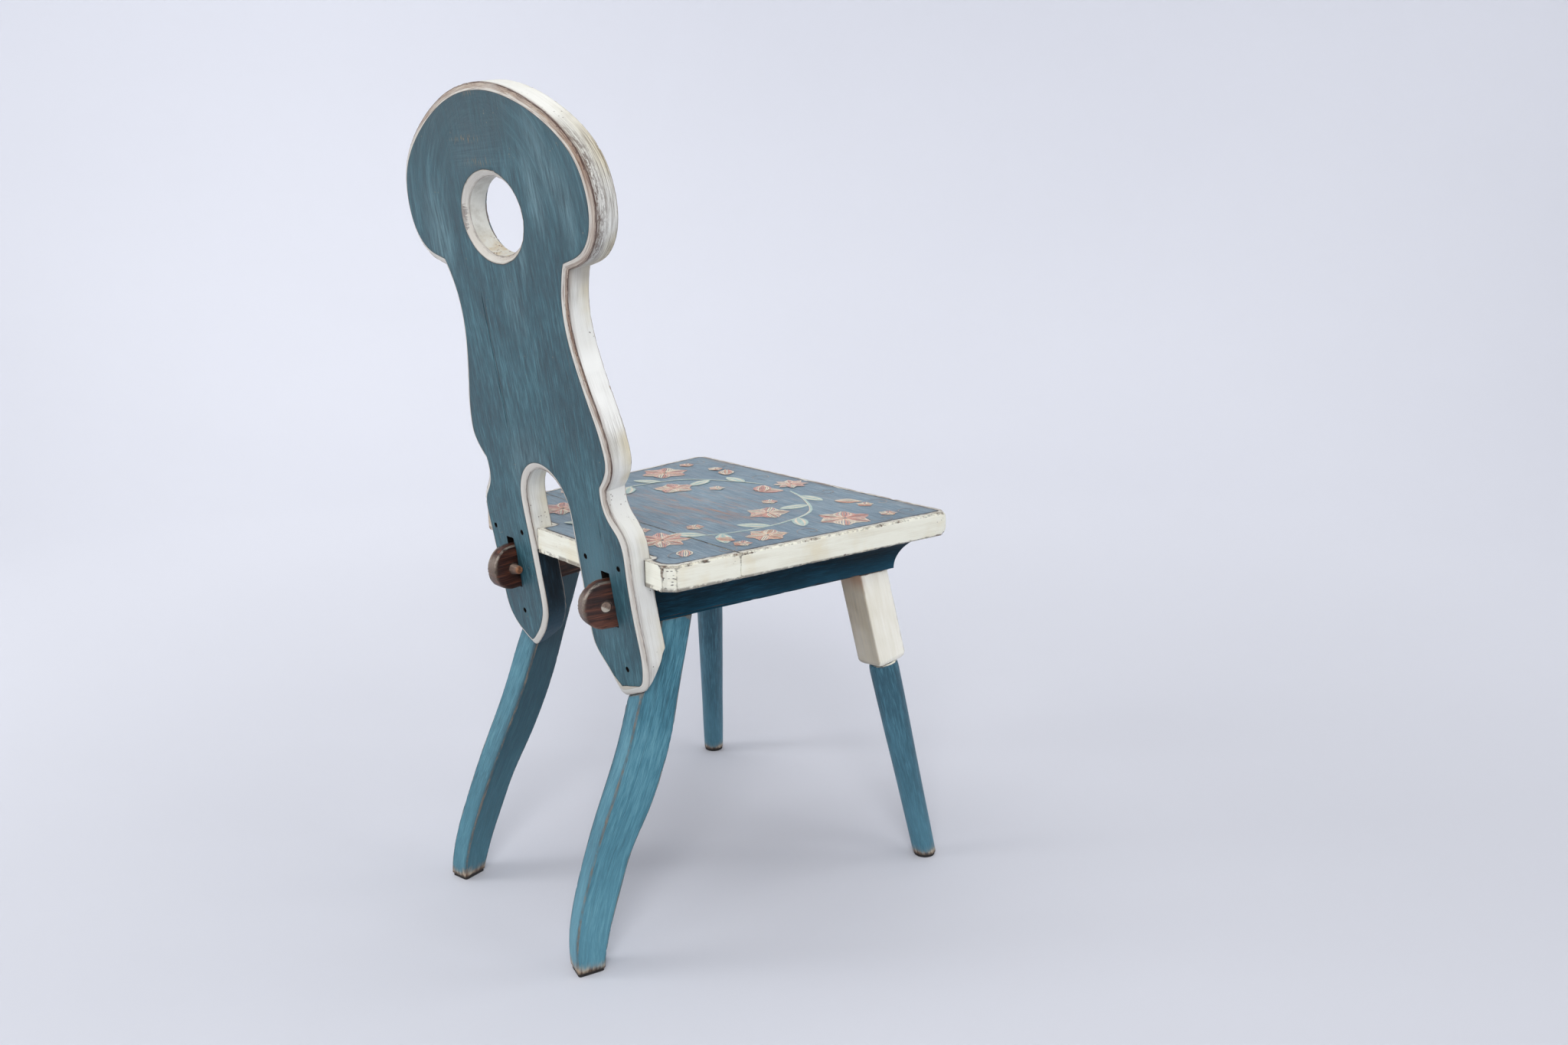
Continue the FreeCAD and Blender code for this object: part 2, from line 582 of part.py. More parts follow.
# ---------------------------------------------------------------- foot pads
a = leg_axis(0)
pad_f = Part.makeCylinder(13.0, PAD_T, V(a.x, a.y, -PAD_T))
pf = place_rear(box(-12.2, 12.2, -14.6, 14.6, -PAD_T, 0))
ve = [ed for ed in pf.Edges if ed.BoundBox.ZLength > PAD_T - 0.1 and ed.BoundBox.XLength < 0.1]
pad_r = one(pf.makeFillet(3.0, ve))

nodes = {
    "back_board": board,
    "seat_front_board": seat_front,
    "seat_rear_board": seat_rear,
    "left_batten": batten_l,
    "right_batten": batten_r,
    "front_left_leg": front_leg_l,
    "front_right_leg": front_leg_r,
    "rear_left_leg": rear_leg_l,
    "rear_right_leg": rear_leg_r,
    "left_tongue_peg": peg_l,
    "right_tongue_peg": peg_r,
    "leg_tenon_wedges": Part.makeCompound([wedge_f, wedge_fr, wedge_r, wedge_rr]),
    "seat_nails": Part.makeCompound(seat_nails),
    "leg_nails": Part.makeCompound(leg_nails),
    "front_left_foot_pad": pad_f,
    "front_right_foot_pad": mirror(pad_f),
    "rear_left_foot_pad": pad_r,
    "rear_right_foot_pad": mirror(pad_r),
}

# the origin is the middle of the chair's box, on the floor
bb = Part.makeCompound(list(nodes.values())).optimalBoundingBox(True, False)
shift = V(-(bb.XMin + bb.XMax) / 2, -(bb.YMin + bb.YMax) / 2, -bb.ZMin)
print("shift", round(shift.x, 3), round(shift.y, 3), round(shift.z, 3))
print("size", round(bb.XLength, 1), round(bb.YLength, 1), round(bb.ZLength, 1))

os.makedirs("parts", exist_ok=True)
for name, shape in nodes.items():
    s = shape.copy()
    s.translate(shift)
    print(name, "valid", s.isValid(), "solids", len(s.Solids), "volume", round(s.Volume))
    s.exportStep("parts/%s.step" % name)
p = PEG_C + shift
print("peg centre", [round(q, 3) for q in (p.x, p.y, p.z)], "axis", [round(q, 5) for q in (BN.x, BN.y, BN.z)])
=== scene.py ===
import bpy
import bmesh
import math
import random
import numpy as np
from mathutils import Vector, Matrix, kdtree, noise


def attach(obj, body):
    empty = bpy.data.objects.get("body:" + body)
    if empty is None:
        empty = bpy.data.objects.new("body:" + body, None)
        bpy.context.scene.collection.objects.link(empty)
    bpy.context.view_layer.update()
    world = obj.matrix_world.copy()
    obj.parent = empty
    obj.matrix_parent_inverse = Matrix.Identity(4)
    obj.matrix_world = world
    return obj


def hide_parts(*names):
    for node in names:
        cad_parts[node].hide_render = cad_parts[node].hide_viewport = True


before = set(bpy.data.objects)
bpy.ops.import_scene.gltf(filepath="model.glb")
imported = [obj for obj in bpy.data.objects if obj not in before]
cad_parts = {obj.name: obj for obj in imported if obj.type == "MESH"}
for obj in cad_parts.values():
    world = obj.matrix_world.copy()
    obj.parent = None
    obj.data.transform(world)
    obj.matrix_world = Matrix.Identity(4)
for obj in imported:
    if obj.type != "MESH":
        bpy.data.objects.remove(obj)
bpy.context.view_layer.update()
SCENE = bpy.context.scene
COLL = SCENE.collection

# ------------------------------------------------------------------ the chair's own frames
TH = math.radians(7.8)
P0 = np.array((0.0, 0.159709, 0.4535))            # rear face of the back at seat height
UP = np.array((0.0, math.sin(TH), math.cos(TH)))  # up along the back
NB = np.array((0.0, math.cos(TH), -math.sin(TH)))  # out of the back's rear face
TILT = math.radians(0.54)
BACK_T = 0.0288
HOLE = (0.0, 0.346, 0.055, 0.040)                 # centre u, v; half height, half width
BN = np.array((0.98796, 0.15471, 0.0))            # out through the left tongue
BD = np.array((-0.15471, 0.98796, 0.0))           # rearwards along the left batten
PHI = math.radians(13.1)
REAR_FOOT = np.array((0.13665, 0.22557, 0.0))
LEG_Z = np.array([0, 40, 80, 120, 160, 200, 240, 280, 330, 390]) / 1000 + 0.0035
LEG_REAR = np.array([15.8, 12.9, 1.4, -13.8, -31.2, -50.4, -67.4, -81.6, -103.2, -120.0]) / 1000
LEG_FRONT = np.array([-15.8, -26.0, -41.4, -58.3, -82.2, -102.2, -117.6, -128.6, -143.1, -158.6]) / 1000
FRONT_FOOT = np.array((0.21675, -0.229341, 0.0035))
FRONT_TOP = np.array((0.14974, -0.177011, 0.3935))


def lin1(c):
    c /= 255.0
    return c / 12.92 if c <= 0.04045 else ((c + 0.055) / 1.055) ** 2.4


def rgb(r, g, b):
    return (lin1(r), lin1(g), lin1(b), 1.0)


# ------------------------------------------------------------------ a small shader language
class Mat:
    def __init__(self, name):
        self.m = bpy.data.materials.new(name)
        self.m.use_nodes = True
        self.t = self.m.node_tree
        self.t.nodes.clear()
        self.out = self.t.nodes.new("ShaderNodeOutputMaterial")
        self.b = self.t.nodes.new("ShaderNodeBsdfPrincipled")
        self.t.links.new(self.b.outputs[0], self.out.inputs[0])
        self.cache = {}

    def put(self, sock, v):
        if isinstance(v, bpy.types.NodeSocket):
            self.t.links.new(v, sock)
        elif isinstance(v, (tuple, list)):
            n = len(sock.default_value)
            sock.default_value = tuple(v)[:n] if len(v) >= n else tuple(v) + (1.0,)
        else:
            sock.default_value = v

    def new(self, kind, **props):
        n = self.t.nodes.new(kind)
        for k, v in props.items():
            setattr(n, k, v)
        return n

    def attr(self, name, out="Fac"):
        key = ("attr", name)
        if key not in self.cache:
            self.cache[key] = self.new("ShaderNodeAttribute", attribute_name=name)
        return self.cache[key].outputs[out]

    def loc(self):
        return self.attr("loc", "Vector")

    def xyz(self, v):
        n = self.new("ShaderNodeSeparateXYZ")
        self.put(n.inputs[0], v)
        return n.outputs[0], n.outputs[1], n.outputs[2]

    def vec(self, x, y, z):
        n = self.new("ShaderNodeCombineXYZ")
        for s, v in zip(n.inputs, (x, y, z)):
            self.put(s, v)
        return n.outputs[0]

    def scale(self, v, s, o=(0, 0, 0)):
        n = self.new("ShaderNodeVectorMath", operation="MULTIPLY_ADD")
        self.put(n.inputs[0], v)
        n.inputs[1].default_value = s
        n.inputs[2].default_value = o
        return n.outputs[0]

    def math(self, op, a, b=0.0, c=0.0, clamp=False):
        n = self.new("ShaderNodeMath", operation=op, use_clamp=clamp)
        self.put(n.inputs[0], a)
        self.put(n.inputs[1], b)
        if len(n.inputs) > 2:
            self.put(n.inputs[2], c)
        return n.outputs[0]

    def add(self, a, b):
        return self.math("ADD", a, b)

    def sub(self, a, b):
        return self.math("SUBTRACT", a, b)

    def mul(self, a, b):
        return self.math("MULTIPLY", a, b)

    def inv(self, a):
        return self.math("SUBTRACT", 1.0, a, clamp=True)

    def mx(self, a, b):
        return self.math("MAXIMUM", a, b)

    def mn(self, a, b):
        return self.math("MINIMUM", a, b)

    def rng(self, v, a, b, c=0.0, d=1.0, kind="LINEAR"):
        n = self.new("ShaderNodeMapRange", interpolation_type=kind, clamp=True)
        self.put(n.inputs[0], v)
        for i, x in enumerate((a, b, c, d)):
            self.put(n.inputs[i + 1], x)
        return n.outputs[0]

    def soft(self, v, a, b, c=0.0, d=1.0):
        return self.rng(v, a, b, c, d, "SMOOTHSTEP")

    def noise(self, v, s=1.0, detail=2.0, rough=0.5, dist=0.0, col=False):
        n = self.new("ShaderNodeTexNoise", noise_dimensions="3D")
        self.put(n.inputs["Vector"], v)
        n.inputs["Scale"].default_value = s
        n.inputs["Detail"].default_value = detail
        n.inputs["Roughness"].default_value = rough
        n.inputs["Distortion"].default_value = dist
        return n.outputs["Color" if col else "Fac"]

    def streak(self, s, o=(0, 0, 0), detail=3.0, rough=0.55, lo=0.33, hi=0.67, v=None, dist=0.0):
        """Noise stretched by the scales in s, spread over 0 to 1."""
        return self.rng(self.noise(self.scale(self.loc() if v is None else v, s, o), 1.0, detail, rough, dist), lo, hi)

    def cells(self, v, s, o=(0, 0, 0), feature="F1", rand=1.0):
        n = self.new("ShaderNodeTexVoronoi", feature=feature)
        self.put(n.inputs["Vector"], self.scale(v, s, o))
        n.inputs["Scale"].default_value = 1.0
        n.inputs["Randomness"].default_value = rand
        return n.outputs["Distance"]

    def mix(self, f, a, b, mode="MIX"):
        n = self.new("ShaderNodeMix", data_type="RGBA", blend_type=mode, clamp_factor=True)
        self.put(n.inputs[0], f)
        self.put(n.inputs[6], a)
        self.put(n.inputs[7], b)
        return n.outputs[2]

    def ramp(self, f, stops):
        n = self.new("ShaderNodeValToRGB")
        e = n.color_ramp.elements
        while len(e) < len(stops):
            e.new(0.5)
        for el, (p, c) in zip(e, stops):
            el.position = p
            el.color = c
        self.put(n.inputs[0], f)
        return n.outputs[0]

    def bump(self, h, dist=0.0004, strength=0.7):
        n = self.new("ShaderNodeBump")
        n.inputs["Strength"].default_value = strength
        n.inputs["Distance"].default_value = dist
        self.put(n.inputs["Height"], h)
        return n.outputs[0]

    def done(self, color, rough, height=None, dist=0.0004, strength=0.7):
        self.put(self.b.inputs["Base Color"], color)
        self.put(self.b.inputs["Roughness"], rough)
        if height is not None:
            self.put(self.b.inputs["Normal"], self.bump(height, dist, strength))
        return self.m


# ------------------------------------------------------------------ paints
BROWN = rgb(112, 84, 66)
DARKWOOD = rgb(58, 42, 34)
ORANGE = rgb(176, 118, 76)


def wood(T, a, b, c, along="z", fine=1.0):
    """Bare timber: colours a dark, b middle, c light, grain along one local axis."""
    ax = {"x": (9, 150, 150), "y": (150, 9, 150), "z": (150, 150, 9)}[along]
    fx = {"x": (26, 900, 900), "y": (900, 26, 900), "z": (900, 900, 26)}[along]
    g = T.streak(tuple(q * fine for q in ax), (3.1, 7.7, 1.3), 5, 0.65)
    f = T.streak(tuple(q * fine for q in fx), (1.0, 2.0, 5.0), 3, 0.6)
    k = T.add(T.mul(g, 0.7), T.mul(f, 0.3))
    return T.ramp(k, [(0.1, a), (0.5, b), (0.9, c)]), k


def blue_paint(T, dark, mid, light, along="y", seed=0.0, cloud=6.0, contrast=1.0):
    """Brushed satin paint. Returns colour, roughness and brush height."""
    def s(across, alongs):
        return {"x": (alongs, across, across), "y": (across, alongs, across),
                "z": (across, across, alongs)}[along]
    o = (seed, seed * 1.7 + 3.0, seed * 0.6 + 9.0)
    wide = T.streak(s(60, 11), o, 4, 0.6)
    fine = T.streak(s(300, 30), o, 4, 0.65)
    hair = T.streak(s(1200, 60), o, 3, 0.6)
    patch = T.streak((cloud, cloud * 0.8, cloud), o, 5, 0.6)
    k = T.add(T.add(T.mul(patch, 0.26), T.mul(wide, 0.09)), T.add(T.mul(fine, 0.30), T.mul(hair, 0.35)))
    k = T.rng(k, 0.5 - 0.26 / contrast, 0.5 + 0.26 / contrast)
    col = T.ramp(k, [(0.0, dark), (0.5, mid), (1.0, light)])
    grain = T.streak(s(560, 6), (o[1], o[2], o[0]), 5, 0.7, 0.57, 0.72)
    col = T.mix(T.mul(grain, 0.45), col, tuple(q * 0.45 for q in dark[:3]) + (1,))
    rough = T.rng(T.add(T.mul(fine, 0.5), T.mul(patch, 0.5)), 0.0, 1.0, 0.42, 0.60)
    h = T.sub(T.add(T.mul(fine, 0.55), T.mul(hair, 0.3)), T.mul(grain, 0.6))
    return col, rough, h, fine, patch


def cream_paint(T, along="y", seed=0.0, base=rgb(232, 230, 221), shade=rgb(205, 200, 186), dirt=0.5):
    def s(across, alongs):
        return {"x": (alongs, across, across), "y": (across, alongs, across),
                "z": (across, across, alongs)}[along]
    o = (seed + 11.0, seed * 1.3 + 5.0, seed * 0.8 + 2.0)
    wide = T.streak(s(60, 9), o, 3, 0.55)
    fine = T.streak(s(300, 22), o, 4, 0.6)
    patch = T.streak((9, 9, 9), o, 3, 0.6)
    k = T.add(T.add(T.mul(wide, 0.4), T.mul(fine, 0.25)), T.mul(patch, 0.35))
    col = T.mix(T.rng(k, 0.35, 0.85), base, shade)
    rub = T.mul(T.streak(s(520, 34), (o[2], o[0], o[1]), 5, 0.7, 0.55, 0.72), T.rng(patch, 0.45, 0.9))
    col = T.mix(T.mul(rub, dirt), col, rgb(142, 128, 112))
    rough = T.rng(k, 0.0, 1.0, 0.40, 0.62)
    h = T.sub(T.add(T.mul(fine, 0.6), T.mul(wide, 0.3)), T.mul(rub, 0.6))
    return col, rough, h, fine, patch


def specks(T, scale, seed, size, amount, v=None):
    """Small round flecks: 1 inside a fleck."""
    d = T.cells(T.loc() if v is None else v, (scale, scale, scale), (seed, seed * 2.0, seed * 3.0))
    keep = T.rng(T.noise(T.scale(T.loc(), (28, 28, 28), (seed * 5.0, 1.0, 2.0)), 1.0, 2), 0.62 - amount, 0.66 - amount)
    return T.mul(T.rng(d, size, size * 0.55), keep)


BLUE_D, BLUE_M, BLUE_L = rgb(24, 60, 71), rgb(42, 86, 98), rgb(76, 122, 133)
LEG_D, LEG_M, LEG_L = rgb(40, 88, 105), rgb(64, 124, 143), rgb(102, 157, 173)


def mat_back_rear():
    T = Mat("back_blue")
    x, v, w = T.xyz(T.loc())
    u = T.mul(x, -1.0)
    col, rough, h, fine, patch = blue_paint(T, BLUE_D, BLUE_M, BLUE_L, "y", 1.0, 11.0, 1.0)
    # brush marks that follow the round of the head, and level ones across its middle
    cv = T.sub(v, 0.335)
    r = T.math("SQRT", T.add(T.mul(u, u), T.mul(cv, cv)))
    th = T.math("ARCTAN2", cv, u)
    pv = T.vec(T.mul(r, 150.0), T.mul(th, 1.6), 0.0)
    arc = T.rng(T.noise(pv, 1.0, 4, 0.6), 0.36, 0.66)
    pv2 = T.vec(T.mul(r, 760.0), T.mul(th, 3.4), 4.0)
    arcf = T.rng(T.noise(pv2, 1.0, 3, 0.6), 0.36, 0.66)
    head = T.mul(T.soft(v, 0.315, 0.365), T.soft(r, 0.075, 0.110))
    ak = T.add(T.mul(arc, 0.6), T.mul(arcf, 0.4))
    acol = T.ramp(ak, [(0.05, BLUE_D), (0.5, BLUE_M), (0.98, rgb(88, 132, 142))])
    side = T.soft(T.math("ABSOLUTE", u), 0.030, 0.100, 0.25, 1.0)
    col = T.mix(T.mul(T.mul(head, side), T.rng(patch, 0.1, 0.8, 0.45, 0.85)), col, acol)
    lev = T.rng(T.noise(T.vec(T.mul(u, 16.0), T.mul(v, 620.0), 7.0), 1.0, 3, 0.6), 0.40, 0.66)
    mid = T.mul(T.soft(T.math("ABSOLUTE", T.sub(u, -0.004)), 0.085, 0.030), T.mul(T.soft(v, 0.385, 0.405), T.soft(v, 0.462, 0.44)))
    col = T.mix(T.mul(mid, T.mul(lev, 0.34)), col, rgb(84, 124, 134))

    def blob(bu, bv, ru, rv, tilt=0.0):
        c, s = math.cos(tilt), math.sin(tilt)
        du, dv = T.sub(u, bu), T.sub(v, bv)
        a = T.mul(T.add(T.mul(du, c), T.mul(dv, s)), 1.0 / ru)
        b = T.mul(T.sub(T.mul(dv, c), T.mul(du, s)), 1.0 / rv)
        return T.soft(T.math("SQRT", T.add(T.mul(a, a), T.mul(b, b))), 1.25, 0.1)

    dust = T.mul(T.mx(T.mx(blob(0.118, 0.395, 0.020, 0.062, 0.45), blob(0.145, 0.352, 0.016, 0.050, 0.06)),
                      T.mx(T.mx(blob(0.090, 0.368, 0.018, 0.048, 0.1), T.mul(blob(0.014, 0.262, 0.026, 0.050), 0.55)),
                           T.mx(blob(-0.122, 0.330, 0.036, 0.060), T.mx(blob(-0.02, 0.07, 0.05, 0.05), blob(0.045, 0.33, 0.014, 0.06))))),
                 T.rng(T.add(T.mul(fine, 0.6), T.mul(patch, 0.4)), 0.15, 0.95))
    col = T.mix(T.mul(dust, 0.80), col, rgb(118, 152, 160))
    crest = T.mul(T.mul(T.soft(v, 0.385, 0.450), T.soft(u, 0.10, 0.04)), 0.55)
    col = T.mix(crest, col, rgb(24, 58, 68))
    hip = T.mul(blob(0.085, -0.030, 0.040, 0.100), 0.75)
    col = T.mix(hip, col, rgb(74, 118, 130))
    gloom = T.mx(T.mx(blob(0.128, 0.300, 0.020, 0.050, 0.05), blob(0.065, 0.315, 0.020, 0.040)),
                 T.mx(blob(0.130, 0.435, 0.012, 0.040, 0.75), blob(-0.075, 0.385, 0.030, 0.050)))
    col = T.mix(T.mul(gloom, 0.45), col, rgb(32, 68, 78))
    # fine cracks and grain, browner low on the sitter's left
    lines = T.mul(T.streak((620, 5.0, 1), (2.0, 8.0, 0.0), 5, 0.72, 0.56, 0.70),
                  T.mul(T.soft(v, 0.33, 0.18), T.rng(patch, 0.15, 0.8)))
    col = T.mix(T.mul(lines, 0.70), col, rgb(24, 48, 56))
    sway = T.mul(T.sub(T.noise(T.vec(T.mul(v, 24.0), 0.0, 5.0), 1.0, 3), 0.5), 0.010)
    split = T.mul(T.soft(T.math("ABSOLUTE", T.add(T.add(u, 0.0500), sway)), 0.0012, 0.0004), T.mul(T.soft(v, 0.120, 0.140), T.soft(v, 0.272, 0.250)))
    col = T.mix(T.mul(split, 0.85), col, rgb(18, 36, 44))
    brown = T.mul(T.streak((700, 6.0, 1), (5.0, 1.0, 0.0), 4, 0.7, 0.60, 0.70),
                  T.mul(T.soft(u, -0.03, 0.05), T.mul(T.soft(v, 0.30, 0.22), T.soft(v, 0.06, 0.12))))
    col = T.mix(T.mul(brown, 0.55), col, rgb(112, 98, 84))
    # ochre flecks above the hole and under the top edge
    fl = T.mx(T.mul(blob(-0.006, 0.402, 0.034, 0.006), T.streak((520, 60, 1), (1, 1, 1), 2, 0.5, 0.55, 0.62)),
              T.mx(T.mul(blob(-0.025, 0.424, 0.040, 0.005), T.streak((420, 90, 1), (4, 1, 1), 2, 0.5, 0.57, 0.62)),
                   T.mul(blob(-0.004, 0.468, 0.020, 0.004), T.streak((600, 60, 1), (7, 3, 1), 2, 0.5, 0.53, 0.60))))
    col = T.mix(T.mul(fl, 0.75), col, rgb(150, 122, 78))
    fleck = specks(T, 170, 3.0, 0.16, 0.02)
    col = T.mix(T.mul(fleck, 0.5), col, rgb(150, 138, 108))
    # cut-in line beside the border, and near-black lips round the nail holes and mortises
    rim = T.attr("rim")
    wob = T.mul(T.sub(T.noise(T.scale(T.loc(), (60, 60, 60)), 1.0, 3), 0.5), 0.0016)
    toe = T.mul(T.mul(T.soft(v, -0.150, -0.160), T.soft(u, 0.070, 0.080)), 0.0042)
    edge = T.sub(T.add(rim, wob), toe)
    col = T.mix(T.mul(T.rng(edge, 0.0125, 0.0080), 0.40), col, rgb(34, 74, 84))
    col = T.mix(T.rng(edge, 0.0085, 0.0077), col, rgb(40, 44, 42))
    col = T.mix(T.rng(edge, 0.0074, 0.0068), col, rgb(198, 190, 176))
    ar = T.attr("arris")
    col = T.mix(T.mul(T.rng(T.add(ar, T.mul(T.sub(fine, 0.5), 0.0008)), 0.0007, 0.0001), T.mul(T.soft(v, 0.10, 0.05), T.rng(rim, 0.0080, 0.0095))), col, rgb(24, 26, 27))
    crack = T.attr("crack")
    col = T.mix(T.rng(crack, 0.12, 0.6), col, rgb(16, 20, 22))
    h = T.sub(T.add(h, T.mul(T.mul(head, arcf), 0.4)), T.mul(lines, 0.8))
    return T.done(col, rough, h, 0.00035, 0.75)


def band_colour(T, seed, dirty=1.0):
    """Worn bevel: rim runs from 0 at the arris to its full width at the paint line."""
    rim = T.attr("rim")
    s = T.attr("run")
    sv = T.vec(T.mul(s, 26.0), T.mul(rim, 620.0), seed)
    a = T.rng(T.noise(sv, 1.0, 4, 0.65), 0.36, 0.66)
    sv2 = T.vec(T.mul(s, 90.0), T.mul(rim, 1500.0), seed + 4.0)
    b = T.rng(T.noise(sv2, 1.0, 3, 0.6), 0.38, 0.64)
    bx, bv, bw = T.xyz(T.loc())
    big = T.rng(T.noise(T.scale(T.loc(), (11, 11, 11), (seed, 2.0, 4.0)), 1.0, 3), 0.38, 0.62)
    place = T.mx(T.mul(T.soft(bx, 0.02, -0.05), T.soft(bv, 0.02, 0.06)), T.mul(T.soft(bv, 0.41, 0.455), 0.95))
    place = T.rng(T.add(place, T.mul(big, 0.25)), 0.0, 1.0, 0.18, 1.0)
    clean = T.mix(T.add(T.mul(a, 0.35), T.mul(b, 0.25)), rgb(234, 232, 224), rgb(186, 180, 168))
    worn = T.ramp(T.add(T.mul(a, 0.6), T.mul(b, 0.4)), [(0.0, rgb(88, 62, 50)), (0.30, rgb(134, 106, 88)), (0.62, rgb(172, 150, 130)), (1.0, rgb(210, 198, 180))])
    hi = T.soft(bv, 0.285, 0.320, 0.0, 0.0018)
    w = T.rng(T.sub(T.add(rim, T.mul(T.sub(a, 0.5), 0.0052)), hi), 0.0056, 0.0026)
    col = T.mix(T.mul(w, T.mul(T.rng(big, 0.0, 1.0, 0.60 * dirty, 1.0 * dirty), place)), clean, worn)
    dk = T.cells(T.vec(T.mul(s, 240.0), T.mul(rim, 420.0), seed), (1, 1, 1))
    dots = T.mul(T.rng(dk, 0.30, 0.14), T.mul(T.rng(rim, 0.0055, 0.0020), T.mul(T.rng(big, 0.35, 0.7), T.rng(place, 0.3, 0.8))))
    col = T.mix(T.mul(dots, 0.8), col, rgb(66, 50, 44))
    arr = T.rng(T.add(rim, T.mul(T.sub(b, 0.5), 0.0014)), 0.0017, 0.0007)
    col = T.mix(T.mul(arr, T.mul(T.rng(a, 0.2, 0.6, 0.35, 1.0), T.rng(place, 0.18, 0.7, 0.45, 1.0))), col, rgb(72, 44, 34))
    h = T.sub(T.add(T.mul(a, 0.4), T.mul(b, 0.4)), T.mul(dots, 0.8))
    return col, T.rng(a, 0, 1, 0.48, 0.68), h, rim


def mat_back_band():
    T = Mat("back_band")
    col, rough, h, rim = band_colour(T, 1.0)
    col = T.mix(T.mul(T.rng(rim, 0.0070, 0.0075), 0.6), col, rgb(70, 66, 60))
    return T.done(col, rough, h, 0.0003, 0.7)


def mat_hole_band():
    T = Mat("hole_band")
    col, rough, h, rim = band_colour(T, 6.0, 0.55)
    col = T.mix(T.mul(T.rng(rim, 0.0060, 0.0066), 0.6), col, rgb(70, 66, 60))
    return T.done(col, rough, h, 0.0003, 0.7)


def mat_back_side():
    T = Mat("back_side")
    s = T.attr("run")
    x, v, w = T.xyz(T.loc())
    d = T.mul(w, -1.0)                              # depth in from the rear arris
    lv = T.vec(T.mul(d, 1.0), s, T.mul(d, 0.3))
    o = (4.0, 2.0, 1.0)
    wide = T.streak((190, 7, 60), o, 3, 0.55, v=lv)
    fine = T.streak((720, 24, 60), o, 4, 0.65, v=lv)
    patch = T.streak((10, 10, 10), o, 3, 0.6)
    k = T.add(T.add(T.mul(wide, 0.25), T.mul(fine, 0.3)), T.mul(patch, 0.45))
    col = T.mix(T.rng(k, 0.42, 1.0), rgb(236, 236, 230), rgb(202, 200, 190))
    yel = T.mul(T.mul(T.rng(d, 0.012, 0.026), T.rng(patch, 0.25, 0.75)), T.soft(v, 0.44, 0.40, 0.35, 1.0))
    col = T.mix(T.mul(yel, 0.55), col, rgb(232, 216, 170))
    # painted highlights: the top of the head and a stretch lower down painted whiter
    col = T.mix(T.mx(T.mul(T.soft(v, 0.430, 0.455), 0.35), T.mul(T.soft(v, 0.120, 0.140), T.soft(v, 0.225, 0.200))), col, rgb(250, 250, 245))
    headlow = T.mul(T.mul(T.soft(v, 0.440, 0.405), T.soft(v, 0.285, 0.315)), T.soft(x, 0.0, -0.1, 0.35, 1.0))
    rub = T.mul(T.streak((900, 26, 60), (7, 3, 1), 5, 0.72, 0.44, 0.62, v=lv), T.mx(headlow, T.mul(T.rng(patch, 0.55, 0.9), 0.5)))
    col = T.mix(T.mul(rub, 0.85), col, rgb(110, 94, 78))
    grub = T.mul(T.mul(headlow, T.rng(d, 0.019, 0.005)), T.streak((330, 130, 200), (3, 8, 2), 5, 0.75, 0.48, 0.56, v=lv))
    col = T.mix(T.mul(grub, 0.90), col, rgb(84, 58, 44))
    near = T.mul(T.rng(T.add(d, T.mul(T.sub(fine, 0.5), 0.004)), 0.0078, 0.0040), T.rng(wide, 0.15, 0.8, 0.25, 0.85))
    col = T.mix(T.mul(near, 0.7), col, rgb(140, 122, 108))
    line = T.rng(T.add(d, T.mul(T.sub(fine, 0.5), 0.0016)), 0.0044, 0.0034)
    col = T.mix(T.mul(line, T.rng(wide, 0.2, 0.6, 0.35, 1.0)), col, rgb(76, 48, 38))
    far = T.rng(T.add(d, T.mul(T.sub(wide, 0.5), 0.003)), 0.0262, 0.0278)
    col = T.mix(T.mul(far, 0.45), col, rgb(120, 112, 100))
    # painted shade: a greyer band on the side just below the head
    under = T.mul(T.soft(v, 0.312, 0.298), T.soft(v, 0.270, 0.288))
    col = T.mix(T.mul(under, 0.45), col, rgb(150, 138, 122))
    sp = specks(T, 210, 9.0, 0.20, 0.05)
    col = T.mix(T.mul(sp, 0.7), col, rgb(92, 70, 56))
    rough = T.rng(k, 0, 1, 0.42, 0.62)
    h = T.sub(T.add(T.mul(fine, 0.5), T.mul(wide, 0.3)), T.mul(rub, 0.7))
    return T.done(col, rough, h, 0.0004, 0.75)


def mat_hole_wall():
    T = Mat("hole_wall")
    x, v, w = T.xyz(T.loc())
    d = T.mul(w, -1.0)
    lv = T.vec(T.mul(d, 1.0), T.attr("run"), 0.0)
    wide = T.streak((200, 9, 60), (9, 2, 1), 3, 0.55, v=lv)
    fine = T.streak((700, 30, 60), (9, 2, 1), 4, 0.65, v=lv)
    patch = T.streak((14, 14, 14), (3, 3, 1), 3, 0.6)
    mott = T.rng(T.noise(T.scale(T.loc(), (90, 90, 90)), 1.0, 4, 0.65), 0.38, 0.66)
    col = T.mix(T.rng(T.add(T.add(T.mul(mott, 0.4), T.mul(fine, 0.10)), T.mul(patch, 0.5)), 0.30, 1.0), rgb(214, 214, 207), rgb(172, 168, 156))
    low = T.mul(T.soft(v, 0.335, 0.300), T.rng(T.add(T.mul(patch, 0.5), T.mul(mott, 0.5)), 0.15, 0.70))
    col = T.mix(T.mul(low, 0.80), col, rgb(204, 174, 116))
    # painted shade: the upper wall of the hole, which faces down, painted greyer
    col = T.mix(T.mul(T.soft(v, 0.372, 0.392), 0.45), col, rgb(150, 146, 138))
    sp = specks(T, 230, 2.0, 0.24, 0.10)
    col = T.mix(sp, col, rgb(96, 52, 38))
    line = T.rng(T.add(d, T.mul(T.sub(fine, 0.5), 0.0010)), 0.0048, 0.0036)
    col = T.mix(T.mul(line, T.mul(T.rng(wide, 0.3, 0.8), 0.7)), col, rgb(98, 64, 48))
    return T.done(col, T.rng(fine, 0, 1, 0.45, 0.62), mott, 0.0003, 0.7)


